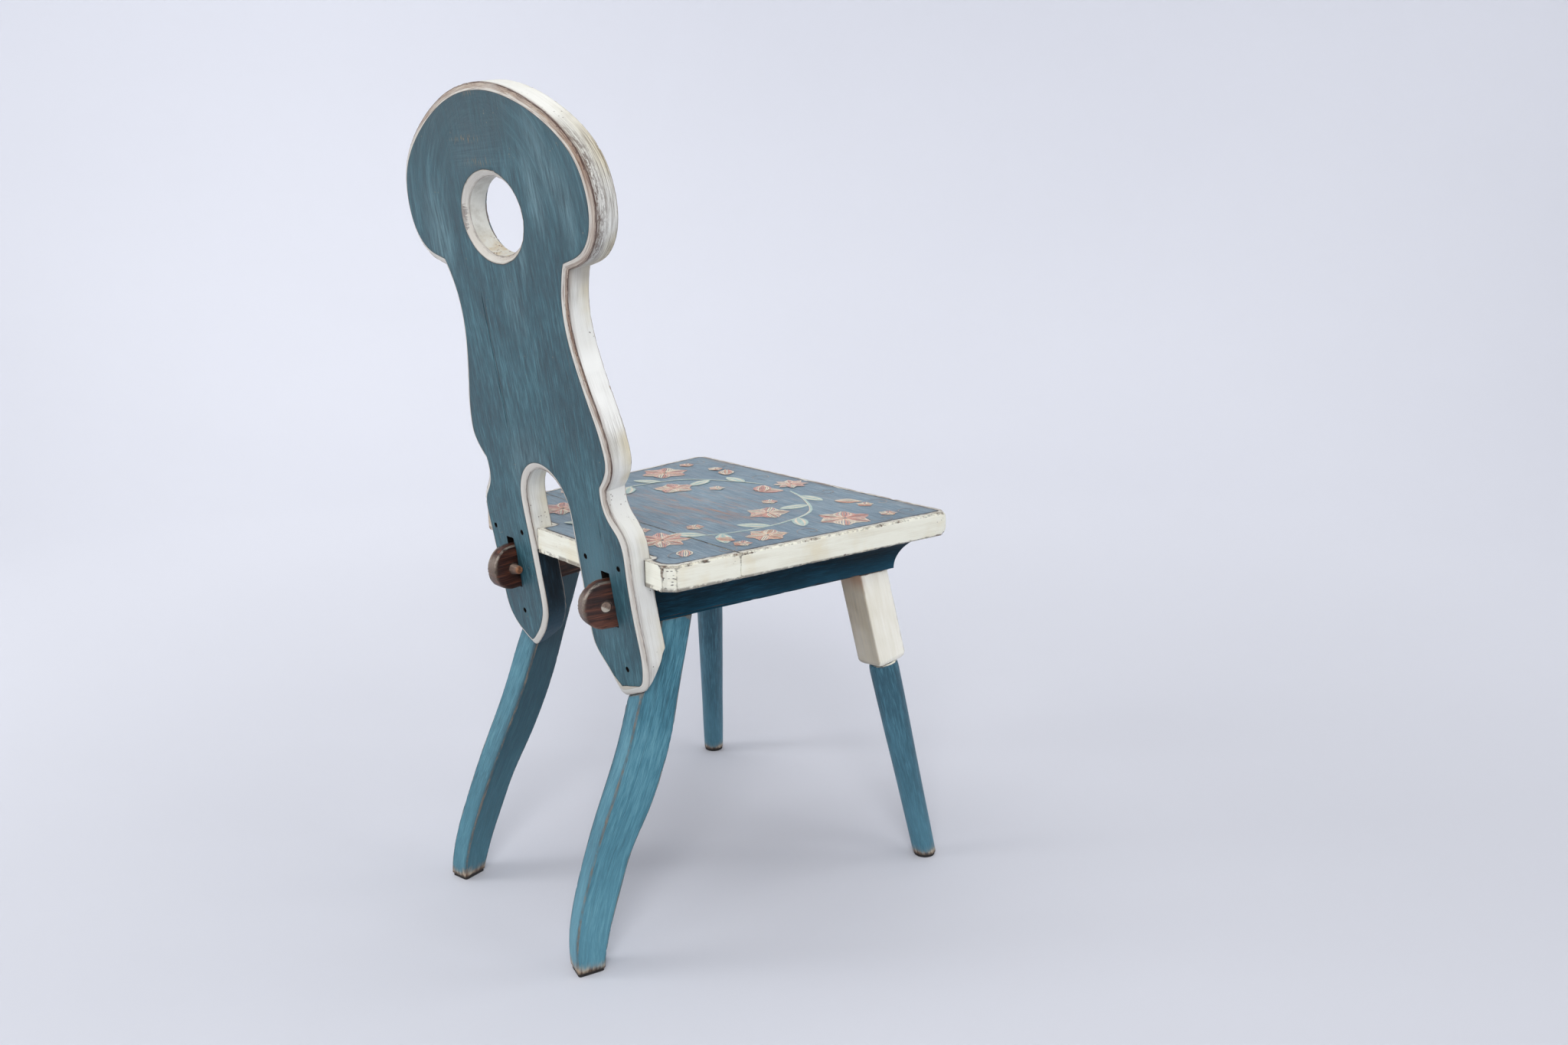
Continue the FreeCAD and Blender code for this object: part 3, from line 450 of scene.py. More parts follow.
def mat_back_front():
    T = Mat("back_front")
    x, v, w = T.xyz(T.loc())
    col, rough, h, fine, patch = blue_paint(T, BLUE_D, BLUE_M, BLUE_L, "y", 7.0, 7.0, 1.1)
    dust = T.mul(T.streak((12, 5, 5), (8, 8, 8), 3, 0.6, 0.52, 0.70), fine)
    col = T.mix(T.mul(dust, 0.4), col, rgb(136, 158, 166))
    rim = T.attr("rim")
    wob = T.mul(T.sub(T.noise(T.scale(T.loc(), (55, 55, 55)), 1.0, 3), 0.5), 0.0024)
    e = T.add(rim, wob)
    s = T.attr("run")
    sv = T.vec(T.mul(s, 24.0), T.mul(rim, 520.0), 3.0)
    a = T.rng(T.noise(sv, 1.0, 4, 0.65), 0.36, 0.66)
    band = T.mix(T.mul(a, 0.8), rgb(226, 222, 210), rgb(186, 172, 154))
    col = T.mix(T.mul(T.rng(e, 0.0140, 0.0090), 0.4), col, rgb(50, 76, 88))
    col = T.mix(T.rng(e, 0.0092, 0.0086), col, rgb(60, 58, 54))
    col = T.mix(T.rng(e, 0.0082, 0.0077), col, band)
    ar = T.attr("arris")
    wear = T.rng(T.add(ar, T.mul(T.sub(a, 0.5), 0.003)), 0.0020, 0.0004)
    col = T.mix(T.mul(wear, 0.7), col, rgb(128, 98, 78))
    return T.done(col, rough, h, 0.00035, 0.7)


def mat_back_inner():
    """The facing walls of the two legs under the seat are painted dark blue, not cream, and darkened much further as
    painted shade under the seat.
    """
    T = Mat("back_inner")
    x, v, w = T.xyz(T.loc())
    col, rough, h, fine, patch = blue_paint(T, rgb(8, 20, 28), rgb(15, 32, 42), rgb(30, 56, 70), "y", 12.0, 9.0, 1.0)
    d = T.mul(w, -1.0)
    wear = T.rng(T.add(d, T.mul(T.sub(fine, 0.5), 0.003)), 0.0255, 0.0272)
    # lighter blue further down, where the painted shade under the seat thins
    col = T.mix(T.mul(T.soft(v, -0.085, -0.150), 0.75), col, rgb(40, 78, 96))
    col = T.mix(T.mul(wear, T.soft(v, -0.06, -0.14, 0.05, 0.5)), col, rgb(110, 132, 138))
    T.b.inputs["Specular IOR Level"].default_value = 0.25
    line = T.rng(T.add(d, T.mul(T.sub(fine, 0.5), 0.0010)), 0.0042, 0.0034)
    col = T.mix(T.mul(line, 0.6), col, rgb(80, 70, 62))
    return T.done(col, rough, h, 0.0003, 0.6)


def mat_socket():
    T = Mat("socket_wood")
    # near-black wood inside the mortises and nail holes: dark wood, darkened further as painted shade in the deep
    # holes
    col, k = wood(T, rgb(10, 8, 7), rgb(18, 14, 12), rgb(34, 26, 21), "y")
    T.b.inputs["Specular IOR Level"].default_value = 0.15
    return T.done(col, T.rng(k, 0, 1, 0.7, 0.9), k, 0.0004, 0.8)


def mat_seat_top(seed):
    T = Mat("seat_top")
    x, y, z = T.xyz(T.loc())
    col, rough, h, fine, patch = blue_paint(T, rgb(94, 118, 133), rgb(122, 146, 162), rgb(158, 178, 189), "x", 3.0, 10.0, 0.85)
    grain = T.streak((7, 520, 1), (4, 4, 1), 5, 0.7, 0.55, 0.72)
    col = T.mix(T.mul(grain, 0.24), col, rgb(78, 86, 98))
    # scuffs down to orange ground, worst in the middle of the seat
    cx, cy = T.mul(x, 1 / 0.17), T.mul(T.add(y, 0.03), 1 / 0.14)
    mid = T.soft(T.math("SQRT", T.add(T.mul(cx, cx), T.mul(cy, cy))), 1.15, 0.2)
    sc = T.streak((16, 120, 1), (1.5, 2.5, 0), 5, 0.7, 0.50, 0.62)
    sc2 = T.streak((30, 420, 1), (8, 1.0, 0), 4, 0.7, 0.50, 0.64)
    scuff = T.mul(T.mul(sc, T.rng(sc2, 0.0, 1.0, 0.35, 1.0)), T.rng(mid, 0, 1, 0.16, 1.0))
    col = T.mix(T.mul(scuff, 0.85), col, rgb(188, 132, 92))
    gry = T.mul(T.streak((9, 60, 1), (6, 2.5, 0), 4, 0.65, 0.50, 0.70), 0.35)
    col = T.mix(gry, col, rgb(150, 164, 172))
    # border: cream laps over the arris, then a broken dark line
    rim = T.attr("rim")
    n1 = T.noise(T.scale(T.loc(), (34, 34, 10)), 1.0, 4, 0.6)
    n2 = T.noise(T.scale(T.loc(), (190, 190, 10)), 1.0, 3, 0.6)
    wob = T.add(T.mul(T.sub(n1, 0.5), 0.0055), T.mul(T.sub(n2, 0.5), 0.0022))
    e = T.add(rim, wob)
    dk = T.mul(T.mul(T.rng(e, 0.0078, 0.0066), T.rng(e, 0.0040, 0.0052)), T.rng(n1, 0.34, 0.48, 0.30, 1.0))
    cream = T.mix(T.rng(n2, 0.35, 0.7), rgb(228, 226, 216), rgb(196, 188, 172))
    col = T.mix(T.mul(T.rng(e, 0.013, 0.005), 0.25), col, rgb(70, 80, 92))
    col = T.mix(T.rng(e, 0.0062, 0.0053), col, cream)
    col = T.mix(T.mul(dk, 0.92), col, rgb(40, 34, 32))
    # the front edge is rubbed brown by use
    fr = T.mul(T.rng(y, -0.217, -0.2345), T.rng(T.noise(T.scale(T.loc(), (26, 90, 4)), 1.0, 4, 0.65), 0.42, 0.58))
    col = T.mix(T.mul(fr, 0.7), col, rgb(138, 118, 106))
    ar = T.attr("arris")
    lip = T.mul(T.rng(ar, 0.0014, 0.0003), T.rng(n2, 0.45, 0.6))
    col = T.mix(T.mul(lip, 0.7), col, rgb(90, 72, 60))
    joint = T.rng(T.math("ABSOLUTE", T.sub(y, 0.052609)), 0.0014, 0.0008)
    col = T.mix(T.mul(joint, T.rng(T.noise(T.scale(T.loc(), (45, 1, 1)), 1.0, 3), 0.33, 0.5, 0.8, 1.0)), col, rgb(16, 18, 20))
    rough = T.rng(T.add(T.mul(fine, 0.5), T.mul(patch, 0.5)), 0.0, 1.0, 0.36, 0.55)
    return T.done(col, rough, h, 0.0003, 0.6)


def mat_seat_edge():
    T = Mat("seat_edge")
    x, y, z = T.xyz(T.loc())
    s = T.attr("run")
    lv = T.vec(s, T.mul(z, 1.0), 0.0)
    wide = T.streak((9, 130, 1), (1, 5, 0), 3, 0.55, v=lv)
    fine = T.streak((30, 620, 1), (1, 5, 0), 4, 0.65, v=lv)
    patch = T.streak((16, 16, 16), (2, 3, 4), 3, 0.6)
    k = T.add(T.add(T.mul(wide, 0.4), T.mul(fine, 0.25)), T.mul(patch, 0.35))
    col = T.mix(T.rng(k, 0.40, 1.0), rgb(246, 245, 229), rgb(224, 218, 196))
    yel = T.mul(T.rng(patch, 0.55, 0.95), 0.45)
    col = T.mix(yel, col, rgb(236, 224, 190))
    ar = T.attr("arris")
    n1 = T.noise(T.scale(T.loc(), (70, 70, 70)), 1.0, 4, 0.65)
    n2 = T.noise(T.scale(T.loc(), (260, 260, 260)), 1.0, 3, 0.6)
    e = T.add(ar, T.add(T.mul(T.sub(n1, 0.5), 0.006), T.mul(T.sub(n2, 0.5), 0.0025)))
    facet = T.mul(T.rng(y, 0.122, 0.127), T.rng(T.math("ABSOLUTE", x), 0.176, 0.180))
    e = T.sub(e, T.mul(facet, 0.0007))
    chip = T.mul(T.rng(e, 0.0006, -0.0002), T.rng(n1, 0.36, 0.44, 1.0, 0.55))
    col = T.mix(T.mul(chip, 0.95), col, T.mix(T.rng(n2, 0.36, 0.62), rgb(34, 28, 26), rgb(120, 92, 70)))
    low = T.mul(T.rng(z, 0.4265, 0.4243), T.rng(n1, 0.44, 0.54))
    col = T.mix(T.mul(low, 0.7), col, rgb(96, 82, 70))
    # short saw ticks at the rear corner of the sitter's right
    tick = T.mul(T.rng(T.cells(T.vec(T.mul(y, 260.0), T.mul(z, 420.0), 2.0), (1, 1, 1)), 0.30, 0.16),
                 T.mul(T.rng(y, 0.127, 0.130), T.rng(x, -0.176, -0.180)))
    col = T.mix(T.mul(tick, 0.85), col, rgb(70, 60, 52))
    sp = specks(T, 240, 5.0, 0.17, 0.03)
    col = T.mix(T.mul(sp, 0.7), col, rgb(80, 66, 56))
    ear = T.mul(T.rng(x, 0.150, 0.165), T.rng(y, 0.095, 0.120))
    col = T.mix(T.mul(ear, T.rng(patch, 0.2, 0.8, 0.35, 0.8)), col, rgb(160, 124, 90))
    # painted shade in the narrow gap where the ears meet the back board
    ax = T.add(T.math("ABSOLUTE", x), T.mul(T.sub(n1, 0.5), 0.0016))
    gap = T.mul(T.rng(ax, 0.1534, 0.1520), T.mul(T.rng(ax, 0.1480, 0.1500), T.rng(y, 0.120, 0.124)))
    col = T.mix(T.mul(gap, 0.85), col, rgb(44, 36, 32))
    h = T.sub(T.add(T.mul(fine, 0.5), T.mul(wide, 0.3)), T.mul(chip, 1.5))
    return T.done(col, T.rng(k, 0, 1, 0.42, 0.62), h, 0.0004, 0.75)


def mat_seat_under():
    T = Mat("seat_under")
    col, k = wood(T, rgb(78, 56, 40), rgb(124, 94, 68), rgb(160, 128, 96), "x")
    rim = T.attr("rim")
    e = T.add(rim, T.mul(T.sub(T.noise(T.scale(T.loc(), (30, 30, 5)), 1.0, 4), 0.5), 0.012))
    col = T.mix(T.rng(e, 0.0115, 0.0085), col, rgb(206, 198, 182))
    dirt = T.streak((9, 24, 5), (3, 3, 3), 4, 0.6, 0.5, 0.7)
    col = T.mix(T.mul(dirt, 0.35), col, rgb(66, 52, 42))
    return T.done(col, T.rng(k, 0, 1, 0.6, 0.82), k, 0.0005, 0.8)


def mat_batten():
    T = Mat("batten_blue")
    t, s, z = T.xyz(T.loc())
    # very dark navy: dark blue paint, darkened further as painted shade under the seat
    col, rough, h, fine, patch = blue_paint(T, rgb(0, 22, 31), rgb(3, 38, 52), rgb(16, 62, 80), "y", 5.0, 8.0, 1.0)
    # lighter blue lower down where the cove turns out, most near the front end: painted light, leaving the top of the
    # cove as painted shade under the seat
    turn = T.mul(T.rng(z, 0.402, 0.376), T.rng(s, -0.06, -0.33, 0.12, 0.80))
    col = T.mix(T.mul(turn, T.rng(patch, 0.1, 0.9, 0.55, 1.0)), col, rgb(52, 104, 128))
    # a lighter line along the bottom fillet: painted highlight
    low = T.rng(z, 0.3795, 0.3765)
    col = T.mix(T.mul(low, 0.34), col, rgb(14, 76, 98))
    T.b.inputs["Specular IOR Level"].default_value = 0.08
    ar = T.attr("arris")
    n = T.noise(T.scale(T.loc(), (80, 26, 80)), 1.0, 4, 0.65)
    w = T.rng(T.add(ar, T.mul(T.sub(n, 0.5), 0.006)), 0.0010, 0.0)
    col = T.mix(T.mul(w, 0.40), col, rgb(30, 66, 80))
    return T.done(col, rough, h, 0.00035, 0.7)


def mat_batten_inner():
    T = Mat("batten_inner")
    col, k = wood(T, rgb(34, 20, 16), rgb(74, 46, 36), rgb(112, 76, 58), "y")
    x, s, z = T.xyz(T.loc())
    drip = T.mul(T.streak((40, 30, 40), (2, 2, 2), 4, 0.6, 0.52, 0.66), 0.7)
    col = T.mix(drip, col, rgb(18, 22, 26))
    return T.done(col, T.rng(k, 0, 1, 0.6, 0.8), k, 0.0004, 0.8)


def mat_tongue():
    T = Mat("tongue_walnut")
    t, s, z = T.xyz(T.loc())
    col, k = wood(T, rgb(18, 9, 7), rgb(60, 31, 22), rgb(120, 70, 50), "y", 0.9)
    end = T.attr("tip")                         # 0 at the rounded end, grows towards the board
    # painted highlight: a pale band at the rounded end, stronger on its upper side
    ring = T.rng(T.add(end, T.mul(T.sub(k, 0.5), 0.004)), 0.0045, 0.0012)
    col = T.mix(T.mul(ring, T.rng(z, 0.376, 0.404, 0.35, 0.80)), col, rgb(128, 112, 98))
    dark = T.rng(end, 0.020, 0.033)
    col = T.mix(T.mul(dark, 0.6), col, rgb(16, 12, 10))
    ar = T.attr("arris")
    # painted highlight: pale arris on the upper side of the tongue
    pale = T.mul(T.rng(T.add(ar, T.mul(T.sub(k, 0.5), 0.0020)), 0.0017, 0.0003), T.mul(T.rng(k, 0.2, 0.6), T.rng(end, 0.034, 0.026)))
    up = T.rng(z, 0.392, 0.412, 0.15, 1.0)
    col = T.mix(T.mul(T.mul(pale, up), T.rng(T.noise(T.scale(T.loc(), (120, 120, 120)), 1.0, 3), 0.38, 0.56, 0.25, 0.9)), col, rgb(190, 180, 166))
    pore = T.mul(T.streak((700, 60, 700), (5, 5, 5), 3, 0.6, 0.60, 0.68), 0.7)
    col = T.mix(pore, col, rgb(14, 10, 8))
    h = T.sub(T.mul(k, 0.8), T.mul(pore, 0.9))
    return T.done(col, T.rng(k, 0, 1, 0.30, 0.52), h, 0.0005, 0.85)


def mat_leg(name, seed, dark, mid, light):
    T = Mat(name)
    a, d, z = T.xyz(T.loc())
    col, rough, h, fine, patch = blue_paint(T, dark, mid, light, "z", seed, 9.0, 0.9)
    chalk = T.mul(T.streak((30, 30, 9), (seed + 5, 1, 2), 4, 0.62, 0.50, 0.68), 0.28)
    col = T.mix(chalk, col, tuple(min(1.0, q * 1.25) for q in light[:3]) + (1,))
    # painted light and shade: lighter towards the foot, darker up under the seat
    col = T.mix(T.mul(T.soft(z, 0.26, 0.02), 0.38), col, tuple(min(1.0, q * 1.12) for q in light[:3]) + (1,))
    # faces turned in towards the middle of the chair darker, most near the top: partly grime, partly painted shade
    col = T.mix(T.mul(T.attr("inward_grime_and_shade"), T.soft(z, 0.0, 0.30, 0.35, 0.80)), col, tuple(q * 0.55 for q in dark[:3]) + (1,))
    ar = T.attr("arris")
    n1 = T.noise(T.scale(T.loc(), (60, 60, 16), (seed, 0, 0)), 1.0, 4, 0.65)
    n2 = T.noise(T.scale(T.loc(), (300, 300, 60), (seed, 0, 0)), 1.0, 3, 0.6)
    e = T.add(ar, T.add(T.mul(T.sub(n1, 0.5), 0.0036), T.mul(T.sub(n2, 0.5), 0.0014)))
    w = T.mul(T.rng(e, 0.0009, 0.0), T.rng(n2, 0.36, 0.5, 0.45, 1.0))
    col = T.mix(T.mul(T.rng(e, 0.0040, 0.0006), 0.25), col, dark)
    col = T.mix(T.mul(w, 0.80), col, T.mix(T.rng(n2, 0.38, 0.62), rgb(84, 80, 76), rgb(140, 124, 106)))
    foot = T.rng(T.add(z, T.mul(T.sub(n1, 0.5), 0.030)), 0.016, 0.006)
    bare = T.mix(T.rng(n2, 0.4, 0.6), rgb(128, 92, 64), rgb(196, 176, 150))
    edgy = T.rng(ar, 0.009, 0.002)
    col = T.mix(T.mul(foot, T.rng(edgy, 0, 1, 0.25, 0.95)), col, bare)
    grime = T.rng(T.add(z, T.mul(T.sub(n2, 0.5), 0.004)), 0.0075, 0.0045)
    col = T.mix(T.mul(grime, 0.75), col, rgb(34, 30, 28))
    return T.done(col, rough, T.sub(h, T.mul(w, 0.8)), 0.00035, 0.7)


def mat_block():
    T = Mat("leg_block_cream")
    a, d, z = T.xyz(T.loc())
    col, rough, h, fine, patch = cream_paint(T, "z", 8.0, rgb(254, 251, 238), rgb(238, 233, 214), 0.26)
    # painted shade: faces turned to the rear and the middle of the chair painted darker and browner, with a browner
    # strip at their top
    inner = T.mul(T.rng(T.attr("inside"), 0.4, 0.9), T.rng(patch, 0.0, 1.0, 0.55, 0.95))
    col = T.mix(T.mul(inner, 0.85), col, T.mix(fine, rgb(126, 108, 80), rgb(160, 143, 112)))
    top = T.mul(T.rng(z, 0.350, 0.372), T.mul(T.attr("inside"), 0.8))
    col = T.mix(top, col, rgb(158, 112, 74))
    ar = T.attr("arris")
    n1 = T.noise(T.scale(T.loc(), (70, 70, 22), (3, 0, 0)), 1.0, 4, 0.65)
    w = T.rng(T.add(ar, T.mul(T.sub(n1, 0.5), 0.007)), 0.0006, -0.0004)
    col = T.mix(T.mul(w, 0.7), col, rgb(132, 114, 94))
    # a greyer band at the lower end of the block: partly the paint line at the seam, partly painted shade
    seam = T.rng(z, 0.2605, 0.2572)
    col = T.mix(T.mul(seam, 0.35), col, rgb(140, 132, 120))
    return T.done(col, rough, h, 0.0004, 0.75)


def mat_peg():
    T = Mat("peg_wood")
    a, d, z = T.xyz(T.loc())
    col, k = wood(T, rgb(92, 74, 64), rgb(140, 118, 104), rgb(182, 160, 142), "x", 1.2)
    inner = T.rng(a, -0.0150, -0.0188)
    col = T.mix(T.mul(inner, 0.85), col, T.mix(T.rng(k, 0.3, 0.7), rgb(96, 54, 30), rgb(172, 110, 66)))
    r = T.math("SQRT", T.add(T.mul(d, d), T.mul(z, z)))
    outer = T.mul(T.rng(a, 0.0070, 0.0078), T.rng(T.sub(z, T.mul(d, 0.6)), -0.0004, -0.0024))
    col = T.mix(T.mul(outer, 0.85), col, rgb(206, 198, 184))
    return T.done(col, T.rng(k, 0, 1, 0.5, 0.7), k, 0.0004, 0.8)


def mat_iron():
    T = Mat("nail_iron")
    n = T.noise(T.new("ShaderNodeTexCoord").outputs["Object"], 900, 4, 0.7)
    k = T.rng(n, 0.35, 0.65)
    col = T.ramp(k, [(0.1, rgb(8, 8, 8)), (0.6, rgb(18, 16, 15)), (1.0, rgb(48, 34, 28))])
    T.b.inputs["Metallic"].default_value = 0.3
    T.b.inputs["Specular IOR Level"].default_value = 0.2
    return T.done(col, T.rng(k, 0, 1, 0.45, 0.85), k, 0.0003, 0.8)


def mat_pad():
    T = Mat("foot_pad")
    n = T.noise(T.new("ShaderNodeTexCoord").outputs["Object"], 1500, 3, 0.6)
    k = T.rng(n, 0.35, 0.65)
    col = T.ramp(k, [(0.0, rgb(22, 20, 20)), (1.0, rgb(58, 54, 52))])
    return T.done(col, T.rng(k, 0, 1, 0.75, 0.95), k, 0.0004, 0.8)


def mat_plain_wood():
    T = Mat("hidden_wood")
    v = T.new("ShaderNodeTexCoord").outputs["Object"]
    g = T.rng(T.noise(T.scale(v, (300, 300, 30)), 1.0, 4, 0.6), 0.35, 0.65)
    col = T.ramp(g, [(0.0, rgb(120, 92, 64)), (1.0, rgb(186, 154, 116))])
    return T.done(col, T.rng(g, 0, 1, 0.6, 0.8), g, 0.0003, 0.7)


def mat_artwork():
    T = Mat("seat_artwork")
    a = T.attr("stroke", "Vector")                # along the stroke in metres, across, number
    base = T.attr("tint", "Color")
    n = T.rng(T.noise(T.scale(a, (60, 2600, 3.0)), 1.0, 3, 0.6), 0.36, 0.64)
    m = T.rng(T.noise(T.scale(T.loc(), (140, 140, 1)), 1.0, 4, 0.65), 0.40, 0.66)
    light = T.mix(0.70, base, rgb(250, 238, 222))
    thin = T.mix(0.55, base, rgb(122, 138, 152))
    col = T.mix(T.mul(n, 0.90), base, light)
    col = T.mix(T.mul(m, 0.42), col, thin)
    return T.done(col, T.rng(n, 0, 1, 0.38, 0.55), n, 0.00012, 0.6)


# ------------------------------------------------------------------ mesh work on copies of the CAD nodes
def raw(node):
    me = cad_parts[node].data
    co = np.empty(len(me.vertices) * 3, np.float32)
    me.vertices.foreach_get("co", co)
    bm = bmesh.new()
    vs = [bm.verts.new(c) for c in co.reshape(-1, 3).tolist()]
    for p in me.polygons:
        try:
            bm.faces.new([vs[i] for i in p.vertices])
        except ValueError:
            pass
    bmesh.ops.remove_doubles(bm, verts=bm.verts[:], dist=3e-6)
    bmesh.ops.dissolve_degenerate(bm, edges=bm.edges[:], dist=1e-6)
    bmesh.ops.dissolve_limit(bm, angle_limit=math.radians(0.12), use_dissolve_boundaries=False,
                             verts=bm.verts[:], edges=bm.edges[:])
    bm.normal_update()
    return bm


def sharp_points(bm, angle=24.0, step=0.0008, keep=None):
    pts = []
    lim = math.radians(angle)
    for e in bm.edges:
        if len(e.link_faces) == 2 and e.calc_face_angle(0.0) > lim:
            a, b = e.verts[0].co, e.verts[1].co
            if keep is not None and not keep((a + b) / 2):
                continue
            n = max(1, int((b - a).length / step))
            for i in range(n + 1):
                pts.append(a.lerp(b, i / n))
    return pts


def tree(pts):
    k = kdtree.KDTree(len(pts))
    for i, p in enumerate(pts):
        k.insert(p, i)
    k.balance()
    return k


def cut(bm, n, o, start, stop, step, faces=None):
    n = Vector(n)
    o = Vector(o)
    t = start
    while t < stop:
        at = o + n * t
        if faces is None:
            geom = [f for f in bm.faces if min((v.co - at).dot(n) for v in f.verts) < -1e-6
                    and max((v.co - at).dot(n) for v in f.verts) > 1e-6]
        else:
            geom = [f for f in bm.faces if faces(f)]
        es = set(e for f in geom for e in f.edges)
        vs = set(v for f in geom for v in f.verts)
        bmesh.ops.bisect_plane(bm, geom=geom + list(es) + list(vs), dist=1e-6, plane_co=at, plane_no=n)
        t += step


def co_of(me):
    a = np.empty(len(me.vertices) * 3, np.float32)
    me.vertices.foreach_get("co", a)
    return a.reshape(-1, 3).astype(float)


def set_float(me, name, values):
    at = me.attributes.get(name) or me.attributes.new(name, "FLOAT", "POINT")
    at.data.foreach_set("value", np.asarray(values, np.float32))


def set_vec(me, name, values):
    at = me.attributes.get(name) or me.attributes.new(name, "FLOAT_VECTOR", "POINT")
    at.data.foreach_set("vector", np.asarray(values, np.float32).ravel())


def nearest(kd, co):
    d = np.empty(len(co))
    ix = np.empty(len(co), int)
    for i, c in enumerate(co):
        _, j, r = kd.find(c)
        d[i] = r
        ix[i] = j
    return d, ix


def n3(p, s, seed=0.0):
    return noise.noise(Vector((p[0] * s + seed, p[1] * s - seed * 0.7, p[2] * s + seed * 1.9)))


def finish_piece(bm, name, node, body, mats, local, kd, seed, index, chips=0.0009, wave=0.00022,
                 smooth=50.0, chip_scale=150.0, chip_at=0.12, extra=None):
    """Turns a cut copy into a piece: softened arrises, hand-made surface, attributes, materials."""
    bmesh.ops.triangulate(bm, faces=[f for f in bm.faces if len(f.verts) > 4])
    bm.normal_update()
    me = bpy.data.meshes.new(name)
    bm.to_mesh(me)
    bm.free()
    co = co_of(me)
    ar, _ = nearest(kd, co)
    loc = local(co)
    if extra:
        extra(me, co, loc)
    set_float(me, "arris", ar)
    set_vec(me, "loc", loc)
    nor = np.empty(len(me.vertices) * 3, np.float32)
    me.vertices.foreach_get("normal", nor)
    nor = nor.reshape(-1, 3)
    push = np.zeros(len(co))
    for i, p in enumerate(co):
        push[i] = wave * (0.5 + 0.5 * n3(p, 22.0, seed))
        if ar[i] < 0.0004 and chips > 0:
            c = n3(p, chip_scale, seed + 3) * 0.6 + n3(p, chip_scale * 0.3, seed + 8) * 0.6
            push[i] += 0.00018 + chips * max(0.0, c - chip_at) / (1.0 - chip_at) * 2.0
    # index the faces before the surface moves
    nf = len(me.polygons)
    cen = np.empty(nf * 3, np.float32)
    me.polygons.foreach_get("center", cen)
    fn = np.empty(nf * 3, np.float32)
    me.polygons.foreach_get("normal", fn)
    mi = index(cen.reshape(-1, 3).astype(float), fn.reshape(-1, 3).astype(float))
    me.vertices.foreach_set("co", (co - nor * push[:, None]).astype(np.float32).ravel())
    for m in mats:
        me.materials.append(m)
    me.polygons.foreach_set("material_index", np.asarray(mi, np.int32))
    me.polygons.foreach_set("use_smooth", np.ones(nf, bool))
    me.update()
    me.set_sharp_from_angle(angle=math.radians(smooth))
    ob = bpy.data.objects.new(name, me)
    COLL.objects.link(ob)
    wn = ob.modifiers.new("faces", "WEIGHTED_NORMAL")
    wn.mode = "FACE_AREA"
    wn.weight = 100
    wn.keep_sharp = True
    if node:
        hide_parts(node)
    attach(ob, body)
    return ob


def board_local(co):
    d = co - P0
    return np.stack([co[:, 0], d @ UP, d @ NB], 1)


